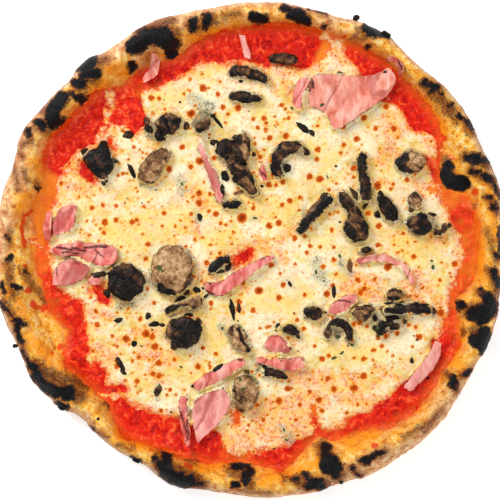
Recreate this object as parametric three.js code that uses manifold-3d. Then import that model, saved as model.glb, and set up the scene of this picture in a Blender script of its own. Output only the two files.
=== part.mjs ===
// A prosciutto and mushroom pizza, baked and whole, lying flat with its toppings up.
//
// Millimetres, +Z up. The origin is the middle of the underside, on the table.
//
// Places on the pizza are plan places: [across, down] on a square of PLAN_SPAN units that the
// crust just fills, its top side away from the reader. Round the rim they are clock places:
// degrees clockwise from the top of the plan, and a radius in plan units. Heights and
// thicknesses are millimetres.

import * as THREE from 'three';
import Module from 'manifold-3d';

// ---- driving dimensions ------------------------------------------------------------------

const PIZZA_SPAN = 322; // across the crust
const PLAN_SPAN = 503; // the same width in plan units
const UNIT = PIZZA_SPAN / PLAN_SPAN; // millimetres in a plan unit
const PLAN_CENTRE = [249.6, 249.3]; // the pole that clock places turn round
const POLE_PLACE = [0.45, 0.32]; // where that pole lies, from the middle of the whole pizza

const FLOOR_THICKNESS = 4; // dough under the toppings
const RIM_HEIGHT = 19; // usual height of the puffed rim
const RIM_CREST = 0.52; // where its crest lies, from its inner foot, 0, to its edge, 1
const RIM_CLIMB = 1.15; // over 1, its inner side starts gently
const RIM_SIDE_HEIGHT = 8; // height of its widest place above the table
const RIM_UNDERCUT = 9; // how far its foot on the table lies inside its edge
const BLISTER_ROUNDNESS = 1.4; // over 1, a blister has a soft edge

const SAUCE_THICKNESS = 1;
const SAUCE_EDGE_THICKNESS = 0.6;
const SAUCE_INSET = 1; // its edge lies this far inside the rim's foot
const CHEESE_THICKNESS = 2.5;
const CHEESE_EDGE_THICKNESS = 0.9;
const CHEESE_UNDER_TOPPING = 1.1; // what is left of the cheese below what lies on it
const TOPPING_SURROUND = 3; // how far round a topping the cheese is thin

const HAM_THICKNESS = 1.3;
const LAYER_GAP = 0.4; // between one piece and the next

// Uneven surfaces: how far each rises and falls, how far apart its lumps are, and a shift of
// its pattern in radians.
const FLOOR_WAVES = { rise: 0.25, wavelength: 90, phase: 0.4 };
const RIM_WAVES = { rise: 1.8, wavelength: 150, phase: 2 };
const RIM_LUMPS = { rise: 0.8, wavelength: 24, phase: 1 };
const CHEESE_LUMPS = { rise: 0.35, wavelength: 33, phase: 3 };

const RIM_SPOKES = 150; // corners round the crust
const CHEESE_SPOKES = 120;
const SAUCE_SPOKES = 100;

// ---- outlines round the pizza: [clock degrees, radius in plan units] ----------------------

const RIM_EDGE = [
  [0, 247], [8, 249], [18, 247], [26, 253], [33, 254.5], [41, 250.5], [48, 252.5], [55, 256],
  [66, 254], [75, 257], [87, 251.5], [96, 253], [108, 257], [113, 257.5], [117, 254], [133, 258],
  [146, 257], [154, 256], [158, 250.5], [163, 252], [175, 249], [190, 244.5], [197, 248],
  [208, 239], [214, 241], [225, 237.5], [231, 248], [239, 254], [245, 252], [258, 257],
  [272, 252], [280, 253.5], [289, 251], [296, 257], [306, 250], [314, 247], [318, 251.5],
  [324, 244], [337, 248.5], [349, 244],
];

// Where the inner side of the rim meets the floor.
const RIM_FOOT = [
  [0, 220], [18, 226], [34, 229], [55, 226], [66, 221], [80, 225], [97, 224], [106, 214],
  [116, 228], [138, 229], [150, 214], [160, 206], [172, 221], [183, 215], [195, 219],
  [203, 214], [214, 222], [224, 211], [234, 204], [243, 216], [255, 221], [267, 211],
  [276, 222], [286, 213], [298, 224], [306, 217], [322, 211], [332, 217], [338, 206], [344, 214],
];

// The melted cheese runs out to here, in tongues with red sauce between them.
const CHEESE_EDGE = [
  [0, 187], [8, 187], [15, 187], [19, 203], [23, 218], [28, 215], [32, 203], [38, 198],
  [44, 205], [53, 205], [58, 217], [63, 215], [68, 197], [74, 196], [81, 207], [92, 214],
  [103, 207], [114, 211], [127, 210], [140, 204], [148, 198], [152, 205], [157, 198],
  [160, 175], [163, 197], [173, 203], [181, 208], [186, 204], [190, 188], [204, 184],
  [215, 196], [226, 195], [231, 189], [236, 199], [241, 188], [253, 178], [259, 200],
  [268, 203], [272, 207], [277, 197], [290, 206], [298, 205], [304, 190], [312, 190], [316, 169],
  [320, 166], [325, 195], [338, 190], [346, 196], [351, 188],
];

// Blisters on the rim: clock degrees, radius, half its width, and how far it stands up in mm.
const BLISTERS = [
  [332, 233, 17, 3.4],
  [338, 223, 19, 3.6],
  [327, 217, 9, 2.4],
  [319, 240, 20, 3.2],
  [306, 239, 22, 3],
  [276, 216, 20, 3.6],
  [260, 223, 27, 3.6],
  [236, 225, 28, 3.8],
  [222, 214, 11, 2.6],
  [201, 213, 9, 2.6],
  [198, 234, 27, 3],
  [160, 224, 22, 5],
  [147, 232, 15, 2.4],
  [112, 247, 16, 2.6],
  [105, 242, 20, 3],
  [104, 220, 10, 3],
  [81, 221, 13, 3],
  [71, 216, 21, 5],
  [69, 243, 15, 2.2],
  [31, 247, 18, 2.2],
  [12, 236, 18, 2.4],
  [2, 229, 12, 2.2],
];

// ---- toppings -----------------------------------------------------------------------------

// Thin slices of ham. Each is an outline in plan places, or for a narrow strip a spine with half
// widths, and the lines along which it stands up in a fold: from, to, how high in mm, and half
// the fold's width in mm. A large slice has more rings of facets than the usual HAM_RINGS.
const HAM_RINGS = 3;
const HAM_SLICES = {
  ham_top_right: {
    outline: [
      [313, 76], [330, 74], [350, 76], [374, 76], [386, 68], [394, 73], [396, 82], [391, 93],
      [376, 104], [357, 117], [343, 127], [334, 131], [329, 119], [321, 108], [309, 107], [307, 94],
    ],
    folds: [
      [[340, 122], [392, 82], 3.2, 6],
      [[384, 72], [372, 102], 3.4, 5],
      [[312, 82], [352, 92], 1.8, 7],
    ],
    rings: 4,
  },
  ham_top_right_fold: {
    outline: [
      [297, 81], [306, 75], [310, 82], [303, 94], [303, 108], [299, 113], [292, 107], [292, 94],
    ],
    folds: [[[306, 77], [297, 110], 3.2, 4]],
  },
  ham_top_right_curl: {
    spine: [[385, 61], [391, 60], [397, 63], [400, 69], [399, 77]],
    halfWidths: [2, 3.2, 4, 3.5, 1.5],
    folds: [[[388, 60], [399, 70], 2.5, 3]],
  },
  ham_upper_left: {
    outline: [
      [152, 55], [159, 55], [160, 65], [157, 75], [150, 81], [144, 83], [143, 77], [150, 68],
    ],
    folds: [[[155, 57], [148, 80], 2, 4]],
  },
  ham_top_wedge: {
    outline: [[239, 34], [244, 35], [248, 44], [252, 55], [250, 60], [244, 57], [242, 45]],
    folds: [[[241, 37], [250, 57], 1.8, 3]],
  },
  ham_centre_wedge: {
    outline: [
      [196, 138], [202, 138], [206, 152], [212, 166], [219, 178], [224, 196], [221, 204],
      [215, 198], [211, 184], [206, 168], [200, 152],
    ],
    folds: [[[199, 141], [219, 196], 2, 4]],
  },
  ham_left_upper: {
    outline: [
      [58, 209], [67, 204], [77, 205], [76, 216], [74, 227], [66, 233], [54, 236], [52, 226],
      [56, 217],
    ],
    folds: [[[75, 207], [72, 229], 2, 4]],
  },
  ham_left_edge: {
    outline: [[47, 212], [52, 211], [52, 222], [51, 232], [51, 240], [45, 240], [43, 230], [44, 220]],
    folds: [[[49, 214], [47, 238], 1.5, 3]],
  },
  ham_left_layered: {
    outline: [
      [48, 251], [60, 244], [75, 242], [90, 243], [105, 243], [116, 248], [118, 257], [112, 265],
      [101, 268], [90, 262], [75, 256], [60, 257],
    ],
    folds: [
      [[55, 249], [112, 249], 2.4, 4],
      [[84, 247], [104, 262], 1.6, 4],
    ],
  },
  ham_left_flap: {
    outline: [
      [53, 285], [53, 278], [55, 270], [60, 262], [69, 259], [79, 261], [86, 264], [91, 268],
      [87, 275], [80, 281], [72, 285], [62, 287],
    ],
    folds: [[[60, 264], [88, 270], 2.2, 4.5]],
    rings: 4,
  },
  ham_left_inner: {
    outline: [[88, 280], [93, 274], [102, 272], [102, 279], [100, 285], [92, 285]],
    folds: [[[91, 278], [100, 280], 1.2, 4]],
  },
  ham_centre_piece: {
    outline: [[259, 160], [265, 169], [268, 179], [263, 184], [260, 178], [258, 168]],
    folds: [[[261, 164], [265, 180], 1.8, 3]],
  },
  ham_centre_curl: {
    spine: [[202, 284], [211, 289], [222, 289], [233, 281], [250, 270], [273, 256]],
    halfWidths: [3.5, 6.5, 7, 6, 6, 2.5],
    folds: [[[205, 282], [225, 292], 2.5, 4], [[236, 276], [270, 258], 2.2, 4]],
  },
  ham_right_curl: {
    outline: [
      [327, 311], [334, 302], [342, 296], [356, 294], [358, 300], [349, 307], [345, 314],
      [334, 315],
    ],
    folds: [[[332, 306], [354, 297], 2.4, 4]],
  },
  ham_right_arc: {
    spine: [[356, 262], [374, 258], [392, 259], [404, 267], [410, 276], [413, 284]],
    halfWidths: [2.5, 3.5, 3.5, 3.5, 3.5, 2.5],
    folds: [[[360, 259], [410, 272], 1, 5]],
  },
  ham_lower_knot: {
    outline: [[262, 346], [269, 336], [280, 334], [290, 343], [293, 351], [283, 354], [271, 352]],
    folds: [[[266, 344], [288, 348], 2.4, 4]],
  },
  ham_lower_strip: {
    spine: [[256, 360], [268, 361], [281, 364], [294, 364], [304, 362]],
    halfWidths: [2.5, 3.5, 5, 7, 5],
    folds: [[[258, 360], [302, 364], 2, 4]],
  },
  ham_lower_left_curl: {
    spine: [[195, 387], [207, 380], [219, 374], [232, 367], [245, 361]],
    halfWidths: [4, 6.5, 7, 6, 3],
    folds: [[[198, 384], [242, 364], 2.6, 4]],
  },
  ham_bottom_flap: {
    outline: [
      [193, 400], [210, 392], [226, 386], [229, 397], [230, 409], [220, 422], [209, 432],
      [198, 443], [194, 430], [192, 414],
    ],
    folds: [
      [[194, 402], [228, 386], 2.2, 5],
      [[196, 436], [214, 408], 1.4, 5],
    ],
    rings: 4,
  },
  ham_bottom_fold: {
    outline: [
      [178, 397], [186, 393], [188, 405], [187, 418], [191, 432], [190, 445], [186, 447],
      [182, 431], [178, 413],
    ],
    folds: [[[183, 397], [186, 442], 2.8, 3]],
  },
  ham_right_strip: {
    spine: [[438, 342], [434, 357], [422, 372], [407, 390]],
    halfWidths: [3.5, 6, 6.5, 4],
    folds: [[[436, 346], [412, 384], 1.8, 4]],
  },
};

// Mushrooms, shrunk and curled in the oven. Each has one or more slices: a rounded outline, or
// a spine with half widths for a slice seen from its side. thick is in mm.
const MUSHROOMS = {
  mushroom_left_dark: [
    {
      outline: [
        [82, 158], [87, 150], [97, 148], [102, 140], [108, 145], [113, 157], [118, 162],
        [114, 169], [108, 175], [104, 183], [97, 177], [88, 168],
      ],
      thick: 4,
    },
  ],
  mushroom_left_slice: [
    {
      outline: [
        [137, 177], [141, 164], [150, 153], [162, 149], [172, 152], [169, 162], [162, 173],
        [155, 183], [143, 184],
      ],
      thick: 3.2,
    },
  ],
  mushroom_upper_left: [
    {
      outline: [
        [155, 124], [160, 115], [171, 112], [181, 117], [182, 127], [173, 136], [162, 136],
      ],
      thick: 4,
    },
    { spine: [[144, 127], [154, 134], [163, 140]], halfWidths: [3, 5, 3.5], thick: 3 },
  ],
  mushroom_upper_grey: [
    { outline: [[195, 122], [199, 112], [207, 112], [211, 121], [207, 133], [196, 134]], thick: 3 },
  ],
  mushroom_top_band: [
    {
      spine: [[228, 74], [239, 71], [250, 73], [260, 76], [268, 83]],
      halfWidths: [3, 6, 6, 5, 2.5],
      thick: 3.4,
    },
  ],
  mushroom_top_slab: [
    { spine: [[230, 96], [240, 97], [251, 99], [262, 100]], halfWidths: [4, 6, 6, 3.5], thick: 3 },
  ],
  mushroom_top_lens: [
    { spine: [[269, 60], [278, 58], [288, 59], [298, 61]], halfWidths: [3, 6, 6, 3], thick: 3 },
  ],
  mushroom_curved_slice: [
    {
      spine: [[309, 155], [298, 147], [285, 148], [275, 158], [275, 170], [282, 178]],
      halfWidths: [3, 6, 7, 6, 6, 3],
      thick: 4,
    },
  ],
  mushroom_upper_centre: [
    {
      outline: [[213, 150], [218, 142], [226, 138], [235, 144], [234, 156], [224, 161], [216, 158]],
      thick: 4,
    },
    { outline: [[233, 138], [243, 130], [251, 139], [251, 153], [246, 165], [235, 160]], thick: 5 },
    {
      spine: [[231, 158], [239, 172], [249, 184], [257, 197]],
      halfWidths: [6, 10, 8, 4],
      thick: 4.4,
    },
  ],
  mushroom_black_slice: [
    { spine: [[223, 206], [232, 204], [242, 203]], halfWidths: [3, 4.5, 3], thick: 3 },
  ],
  mushroom_long_slice: [
    {
      spine: [[331, 196], [320, 207], [309, 219], [298, 232]],
      halfWidths: [4.5, 6, 6, 4],
      thick: 3.6,
    },
  ],
  mushroom_right_column: [
    { outline: [[356, 159], [361, 151], [367, 155], [368, 169], [363, 177], [357, 171]], thick: 3.4 },
    { spine: [[363, 174], [366, 188], [363, 203]], halfWidths: [4.5, 6, 4.5], thick: 4 },
  ],
  mushroom_middle_lumps: [
    { spine: [[340, 191], [347, 203], [359, 215]], halfWidths: [4, 6, 5], thick: 3.6 },
    {
      outline: [
        [342, 224], [349, 214], [361, 213], [370, 227], [367, 240], [353, 243], [344, 235],
      ],
      thick: 4,
    },
  ],
  mushroom_small_middle: [
    { outline: [[356, 249], [361, 247], [371, 247], [374, 250], [366, 254], [358, 253]], thick: 2.6 },
  ],
  mushroom_right_slant: [
    { spine: [[378, 194], [384, 204], [391, 214], [396, 224]], halfWidths: [4, 7.5, 8, 4], thick: 4 },
  ],
  mushroom_round_right: [
    {
      outline: [
        [394, 163], [398, 154], [409, 150], [421, 153], [427, 162], [420, 172], [408, 175],
        [398, 171],
      ],
      thick: 4.4,
    },
  ],
  mushroom_right_lens: [
    { outline: [[408, 196], [415, 190], [422, 198], [420, 207], [414, 210], [408, 205]], thick: 3 },
  ],
  mushroom_right_lump: [
    {
      outline: [
        [404, 222], [411, 213], [424, 212], [435, 218], [434, 229], [421, 236], [409, 232],
      ],
      thick: 3.6,
    },
  ],
  mushroom_right_bow: [
    { spine: [[439, 238], [441, 229], [452, 226]], halfWidths: [3, 4, 3], thick: 2.6 },
  ],
  mushroom_left_large: [
    {
      outline: [
        [107, 283], [109, 270], [119, 264], [131, 263], [138, 270], [147, 276], [145, 288],
        [137, 297], [124, 302], [112, 297],
      ],
      thick: 5,
    },
  ],
  mushroom_big_cap: [
    {
      outline: [
        [150, 270], [153, 256], [164, 246], [177, 245], [189, 251], [196, 264], [194, 281],
        [185, 291], [173, 297], [160, 293], [152, 283],
      ],
      thick: 5,
    },
  ],
  mushroom_hook: [
    { spine: [[230, 260], [220, 261], [213, 267], [211, 275]], halfWidths: [3, 5, 5, 3], thick: 3 },
  ],
  mushroom_below_cap: [
    { outline: [[184, 304], [189, 298], [198, 294], [205, 300], [202, 308], [192, 312]], thick: 3.4 },
    { spine: [[165, 312], [175, 307], [188, 303]], halfWidths: [3, 3.5, 4], thick: 3 },
  ],
  mushroom_lower_left: [
    {
      outline: [
        [165, 331], [170, 320], [181, 316], [194, 317], [204, 326], [200, 341], [188, 350],
        [173, 347],
      ],
      thick: 5,
    },
  ],
  mushroom_centre_tan: [
    {
      spine: [[231, 326], [236, 335], [242, 345], [248, 353]],
      halfWidths: [5, 9, 8, 4],
      thick: 4,
    },
  ],
  mushroom_lower_middle: [
    { outline: [[302, 311], [309, 304], [320, 307], [326, 314], [316, 321], [305, 319]], thick: 3.2 },
  ],
  mushroom_arch: [
    {
      spine: [[328, 341], [329, 328], [339, 321], [349, 328], [349, 341]],
      halfWidths: [3, 5, 5.5, 5, 3],
      thick: 3.4,
    },
  ],
  mushroom_lower_thin: [
    { outline: [[273, 331], [282, 325], [294, 325], [301, 332], [295, 338], [281, 333]], thick: 2.6 },
  ],
  mushroom_lower_right: [
    { outline: [[351, 312], [359, 305], [368, 303], [375, 310], [368, 320], [357, 322]], thick: 3.4 },
  ],
  mushroom_right_cap: [
    { outline: [[383, 297], [389, 289], [400, 288], [408, 294], [404, 299], [391, 302]], thick: 3.4 },
  ],
  mushroom_right_long: [
    {
      spine: [[382, 312], [395, 310], [409, 308], [421, 308], [432, 311]],
      halfWidths: [3, 5, 6, 6, 3],
      thick: 4,
    },
  ],
  mushroom_right_corner: [
    { outline: [[383, 324], [391, 320], [402, 320], [403, 327], [392, 333]], thick: 3 },
    { outline: [[374, 327], [379, 320], [386, 322], [384, 334], [376, 337]], thick: 2.8 },
  ],
  mushroom_bottom_round: [
    {
      outline: [
        [232, 393], [235, 380], [245, 372], [255, 378], [260, 392], [254, 407], [243, 414],
        [235, 407],
      ],
      thick: 4.4,
    },
  ],
  mushroom_bottom_tail: [
    { spine: [[261, 372], [273, 373], [288, 378]], halfWidths: [5, 5, 2.5], thick: 3 },
  ],
};

// Small mushroom scraps sunk in the cheese: plan place, half length, half width, turn in
// degrees from the plan's right-hand direction, and how far each stands up in mm.
const SCRAPS = [
  [129, 135, 6, 4, 30, 1.6],
  [217, 121, 8, 3, -60, 1.6],
  [306, 130, 10, 4, -45, 1.8],
  [431, 216, 6, 3, -25, 1.4],
  [232, 311, 9, 4, -65, 1.8],
  [156, 325, 6, 3, 0, 1.4],
  [158, 392, 7, 3.5, 60, 1.4],
  [433, 268, 5, 4, 0, 1.4],
  [200, 220, 5, 3.5, 0, 1.2],
  [160, 145, 6, 5, 0, 0.8],
];

// ---- materials ----------------------------------------------------------------------------

const FINISHES = {
  crust: { color: 0xd9a05c, roughness: 0.75 },
  sauce: { color: 0xd2240e, roughness: 0.35 },
  cheese: { color: 0xf6dfa4, roughness: 0.4 },
  ham: { color: 0xe08f88, roughness: 0.45 },
  mushroom: { color: 0x4a3426, roughness: 0.5 },
};

function finish(kind) {
  return new THREE.MeshStandardMaterial({ ...FINISHES[kind], metalness: 0 });
}

// ---- plan geometry ------------------------------------------------------------------------

const QUARTER_TURN = Math.PI / 2;
const FULL_CIRCLE = 360;

function planPoint([across, down]) {
  return new THREE.Vector2((across - PLAN_CENTRE[0]) * UNIT, (PLAN_CENTRE[1] - down) * UNIT);
}

function clockPoint(clock, radius) {
  const turn = THREE.MathUtils.degToRad(clock);
  return new THREE.Vector2(radius * Math.sin(turn), radius * Math.cos(turn));
}

function clockOf(x, y) {
  return (THREE.MathUtils.radToDeg(Math.atan2(x, y)) + FULL_CIRCLE) % FULL_CIRCLE;
}

// A smooth closed line through [clock, radius] pairs, as a function that gives millimetres.
function roundOutline(pairs) {
  const first = pairs[0];
  const closed = [...pairs, [first[0] + FULL_CIRCLE, first[1]]];
  return (clock) => {
    const next = closed.findIndex((pair) => pair[0] > clock);
    const [from, to] = [closed[next - 1], closed[next]];
    const share = THREE.MathUtils.smoothstep(clock, from[0], to[0]);
    return THREE.MathUtils.lerp(from[1], to[1], share) * UNIT;
  };
}

const rimEdge = roundOutline(RIM_EDGE);
const rimFoot = roundOutline(RIM_FOOT);
const cheeseEdge = roundOutline(CHEESE_EDGE);

// The height of an uneven surface: two crossed waves, each of which sways along its length.
const SWAY = 1.5; // how far, in radians of the wave
const SWAY_TURNS = 0.67; // turns of the sway in one turn of the wave
const CROSS_TURNS = 1.13; // turns of the second wave in one turn of the first

function unevenness(x, y, { rise, wavelength, phase }) {
  const turn = (2 * Math.PI) / wavelength;
  const first = Math.sin(x * turn + SWAY * Math.sin(y * turn * SWAY_TURNS + phase));
  const second = Math.sin(
    y * turn * CROSS_TURNS + SWAY * Math.sin(x * turn * SWAY_TURNS - phase),
  );
  return (rise * (first + second)) / 2;
}

function distanceToLine(point, from, to) {
  const along = to.clone().sub(from);
  const share = THREE.MathUtils.clamp(
    point.clone().sub(from).dot(along) / along.lengthSq(), 0, 1,
  );
  return point.distanceTo(from.clone().addScaledVector(along, share));
}

function isInside(point, outline) {
  let inside = false;
  outline.forEach((corner, index) => {
    const before = outline[(index + outline.length - 1) % outline.length];
    const crosses = corner.y > point.y !== before.y > point.y;
    const share = (point.y - corner.y) / (before.y - corner.y);
    if (crosses && point.x < corner.x + share * (before.x - corner.x)) {
      inside = !inside;
    }
  });
  return inside;
}

function distanceToOutline(point, outline) {
  if (isInside(point, outline)) {
    return 0;
  }
  return Math.min(...outline.map((corner, index) => (
    distanceToLine(point, corner, outline[(index + 1) % outline.length])
  )));
}

// ---- solids from rings --------------------------------------------------------------------

// A ring of one point has no sides.
function sidesOf(ring) {
  return ring.length > 1 ? ring.length : 0;
}

// A closed skin over a row of rings. Each ring is a loop of points, or one point at an end.
// Neighbouring loops may have different numbers of points, spread evenly round them.
function skinRings(rings) {
  const positions = [];
  const starts = [];
  rings.forEach((ring) => {
    starts.push(positions.length / 3);
    ring.forEach((point) => positions.push(point.x, point.y, point.z));
  });
  const triangles = [];
  for (let row = 0; row + 1 < rings.length; row += 1) {
    const near = (step) => starts[row] + (step % rings[row].length);
    const far = (step) => starts[row + 1] + (step % rings[row + 1].length);
    const [nearSides, farSides] = [sidesOf(rings[row]), sidesOf(rings[row + 1])];
    let [i, j] = [0, 0];
    while (i < nearSides || j < farSides) {
      const nearIsBehind = (i + 0.5) / nearSides < (j + 0.5) / farSides;
      if (j === farSides || (i < nearSides && nearIsBehind)) {
        triangles.push([near(i), near(i + 1), far(j)]);
        i += 1;
      } else {
        triangles.push([near(i), far(j + 1), far(j)]);
        j += 1;
      }
    }
  }
  return outwardGeometry(positions, triangles);
}

function enclosedVolume(positions, triangles) {
  const corner = (index) => new THREE.Vector3().fromArray(positions, index * 3);
  return triangles.reduce((sum, [a, b, c]) => (
    sum + corner(a).dot(corner(b).cross(corner(c))) / 6
  ), 0);
}

function outwardGeometry(positions, triangles) {
  const turned = enclosedVolume(positions, triangles) < 0;
  const index = triangles.flatMap(([a, b, c]) => (turned ? [a, c, b] : [a, b, c]));
  const geometry = new THREE.BufferGeometry();
  geometry.setAttribute('position', new THREE.Float32BufferAttribute(positions, 3));
  geometry.setIndex(index);
  geometry.computeVertexNormals();
  return geometry;
}

function clockRing(count, pointAt) {
  return Array.from({ length: count }, (_, step) => pointAt((step * FULL_CIRCLE) / count));
}

function raised(plan, z) {
  return new THREE.Vector3(plan.x, plan.y, z);
}

// ---- what lies under a piece --------------------------------------------------------------

// Every finished piece joins the ground, so that the next one rests on it.
const ground = [];

function joinGround(geometry) {
  const positions = geometry.attributes.position;
  const corners = Array.from({ length: positions.count }, (_, index) => (
    new THREE.Vector3().fromBufferAttribute(positions, index)
  ));
  const index = geometry.index.array;
  const facets = [];
  for (let start = 0; start < index.length; start += 3) {
    facets.push([corners[index[start]], corners[index[start + 1]], corners[index[start + 2]]]);
  }
  const box = new THREE.Box3().setFromPoints(corners);
  ground.push({ facets, box });
}

// Height of one facet above a plan point, or nothing where it isn't over that point.
function facetHeight([a, b, c], x, y) {
  const area = (b.x - a.x) * (c.y - a.y) - (c.x - a.x) * (b.y - a.y);
  const toB = ((x - a.x) * (c.y - a.y) - (c.x - a.x) * (y - a.y)) / area;
  const toC = ((b.x - a.x) * (y - a.y) - (x - a.x) * (b.y - a.y)) / area;
  if (!(area > 0) || toB < 0 || toC < 0 || toB + toC > 1) {
    return -Infinity;
  }
  return a.z + toB * (b.z - a.z) + toC * (c.z - a.z);
}

function groundHeight(x, y) {
  let top = 0;
  ground.forEach(({ facets, box }) => {
    const outside = x < box.min.x || x > box.max.x || y < box.min.y || y > box.max.y;
    if (outside || box.max.z < top) {
      return;
    }
    facets.forEach((facet) => {
      top = Math.max(top, facetHeight(facet, x, y));
    });
  });
  return top;
}

const LOOK_AROUND = 10; // directions that are looked in round a plan point

// The highest ground within reach of a plan point.
function groundWithin(plan, reach) {
  let top = groundHeight(plan.x, plan.y);
  [reach, reach / 2].forEach((radius) => {
    for (let step = 0; step < LOOK_AROUND; step += 1) {
      const side = clockPoint((step * FULL_CIRCLE) / LOOK_AROUND, radius);
      top = Math.max(top, groundHeight(plan.x + side.x, plan.y + side.y));
    }
  });
  return top;
}

// ---- dough --------------------------------------------------------------------------------

function floorHeight(x, y) {
  return FLOOR_THICKNESS + unevenness(x, y, FLOOR_WAVES);
}

function blisterHeight(x, y) {
  return BLISTERS.reduce((top, [clock, radius, halfWidth, rise]) => {
    const gone = clockPoint(clock, radius * UNIT).distanceTo(new THREE.Vector2(x, y));
    const share = Math.min(1, gone / (halfWidth * UNIT));
    return Math.max(top, rise * (1 - share * share) ** BLISTER_ROUNDNESS);
  }, 0);
}

// The top of the dough: a flat floor, and a puffed rim with a steep outer side.
function doughHeight(x, y) {
  const clock = clockOf(x, y);
  const [edge, foot] = [rimEdge(clock), rimFoot(clock)];
  const out = (Math.hypot(x, y) - foot) / (edge - foot);
  const floor = floorHeight(x, y);
  if (out <= 0) {
    return floor + blisterHeight(x, y);
  }
  const crest = RIM_HEIGHT + unevenness(x, y, RIM_WAVES);
  const lumps = unevenness(x, y, RIM_LUMPS) * Math.sin(Math.min(1, out) * Math.PI);
  if (out < RIM_CREST) {
    const climb = Math.sin((out / RIM_CREST) * QUARTER_TURN) ** RIM_CLIMB;
    return floor + (crest - floor) * climb + lumps + blisterHeight(x, y);
  }
  const fall = Math.min(1, (out - RIM_CREST) / (1 - RIM_CREST));
  const side = Math.sqrt(1 - fall * fall);
  const above = crest - RIM_SIDE_HEIGHT + lumps + blisterHeight(x, y);
  return RIM_SIDE_HEIGHT + above * side;
}

// Each ring of the dough: how many corners, and the radius at a clock place.
const RIM_STEPS = [0.03, 0.1, 0.2, 0.34, 0.48, 0.62, 0.76, 0.89, 1]; // from edge to foot
const FLOOR_RINGS = [[75, 0.92], [75, 0.76], [50, 0.55], [25, 0.3]];
const UNDERSIDE_RINGS = [[50, 0.6], [25, 0.25]];
const UNDERCUT_STEPS = [0, 0.45, 0.82]; // from the table up to the widest place

function doughRings() {
  const rings = [[new THREE.Vector3(0, 0, 0)]];
  [...UNDERSIDE_RINGS].reverse().forEach(([count, share]) => {
    rings.push(clockRing(count, (clock) => raised(clockPoint(clock, rimEdge(clock) * share), 0)));
  });
  UNDERCUT_STEPS.forEach((step) => {
    const inset = RIM_UNDERCUT * (1 - Math.sin(step * QUARTER_TURN));
    const z = RIM_SIDE_HEIGHT * (1 - Math.cos(step * QUARTER_TURN));
    rings.push(clockRing(RIM_SPOKES, (clock) => (
      raised(clockPoint(clock, rimEdge(clock) - inset), z)
    )));
  });
  const onTop = (radiusAt) => (clock) => {
    const plan = clockPoint(clock, radiusAt(clock));
    return raised(plan, doughHeight(plan.x, plan.y));
  };
  rings.push(clockRing(RIM_SPOKES, (clock) => (
    raised(clockPoint(clock, rimEdge(clock)), RIM_SIDE_HEIGHT)
  )));
  RIM_STEPS.forEach((step) => {
    rings.push(clockRing(RIM_SPOKES, onTop((clock) => (
      THREE.MathUtils.lerp(rimEdge(clock), rimFoot(clock), step)
    ))));
  });
  FLOOR_RINGS.forEach(([count, share]) => {
    rings.push(clockRing(count, onTop((clock) => rimFoot(clock) * share)));
  });
  rings.push([new THREE.Vector3(0, 0, doughHeight(0, 0))]);
  return rings;
}

// ---- sauce and cheese ---------------------------------------------------------------------

const LAYER_REACH = 2.5; // a layer clears the highest ground this near to each of its corners

// A layer over the ground out to an edge. thicknessAt gives it at a plan point and a share of
// the way out. rings are [corners, share of the way out], from the edge inwards.
function layerRings(rings, edgeAt, thicknessAt) {
  const spread = rings.map(([count, share]) => clockRing(count, (clock) => (
    clockPoint(clock, edgeAt(clock) * share)
  )));
  spread.push([new THREE.Vector2(0, 0)]);
  const shares = [...rings.map(([, share]) => share), 0];
  const under = spread.map((ring) => ring.map((plan) => (
    raised(plan, groundWithin(plan, LAYER_REACH) + LAYER_GAP)
  )));
  const over = under.map((ring, row) => ring.map((point) => (
    point.clone().setZ(point.z + thicknessAt(point, shares[row]))
  )));
  return [...under.reverse(), ...over];
}

const SAUCE_RINGS = [
  [SAUCE_SPOKES, 1], [SAUCE_SPOKES, 0.96], [50, 0.85], [50, 0.62], [25, 0.32],
];
const CHEESE_RINGS = [
  [CHEESE_SPOKES, 1], [CHEESE_SPOKES, 0.94], [80, 0.84], [80, 0.72], [60, 0.58], [40, 0.42],
  [20, 0.22],
];

function sauceRings() {
  const edgeAt = (clock) => rimFoot(clock) - SAUCE_INSET;
  const thicknessAt = (point, share) => (share === 1 ? SAUCE_EDGE_THICKNESS : SAUCE_THICKNESS);
  return layerRings(SAUCE_RINGS, edgeAt, thicknessAt);
}

function cheeseRings(footprints) {
  const thicknessAt = (point, share) => {
    if (share === 1) {
      return CHEESE_EDGE_THICKNESS;
    }
    const plan = new THREE.Vector2(point.x, point.y);
    const gone = Math.min(...footprints.map((outline) => distanceToOutline(plan, outline)));
    const open = THREE.MathUtils.smoothstep(gone, 0, TOPPING_SURROUND);
    const full = CHEESE_THICKNESS + unevenness(point.x, point.y, CHEESE_LUMPS);
    return THREE.MathUtils.lerp(CHEESE_UNDER_TOPPING, full, open);
  };
  return layerRings(CHEESE_RINGS, cheeseEdge, thicknessAt);
}

// ---- slices -------------------------------------------------------------------------------

// The outline of a slice that is given by a spine and half widths, and of one that is not.
function sliceOutline(slice) {
  if (slice.outline) {
    return slice.outline.map(planPoint);
  }
  const stations = spineStations(slice, slice.spine.length);
  const left = stations.map(({ plan, side, half }) => plan.clone().addScaledVector(side, half));
  const right = stations.map(({ plan, side, half }) => plan.clone().addScaledVector(side, -half));
  return [...left, ...right.reverse()];
}

// Even stations along a spine: the place, the sideways direction and the half width there.
function spineStations({ spine, halfWidths }, count) {
  const curve = new THREE.SplineCurve(spine.map(planPoint));
  return Array.from({ length: count }, (_, step) => {
    const share = step / (count - 1);
    const along = curve.getTangent(share);
    const place = share * (halfWidths.length - 1);
    const before = Math.min(Math.floor(place), halfWidths.length - 2);
    const half = THREE.MathUtils.lerp(halfWidths[before], halfWidths[before + 1], place - before);
    return {
      plan: curve.getPoint(share),
      side: new THREE.Vector2(-along.y, along.x),
      half: half * UNIT,
    };
  });
}

function middleOf(outline) {
  const sum = outline.reduce((total, corner) => total.add(corner), new THREE.Vector2());
  return sum.divideScalar(outline.length);
}

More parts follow.
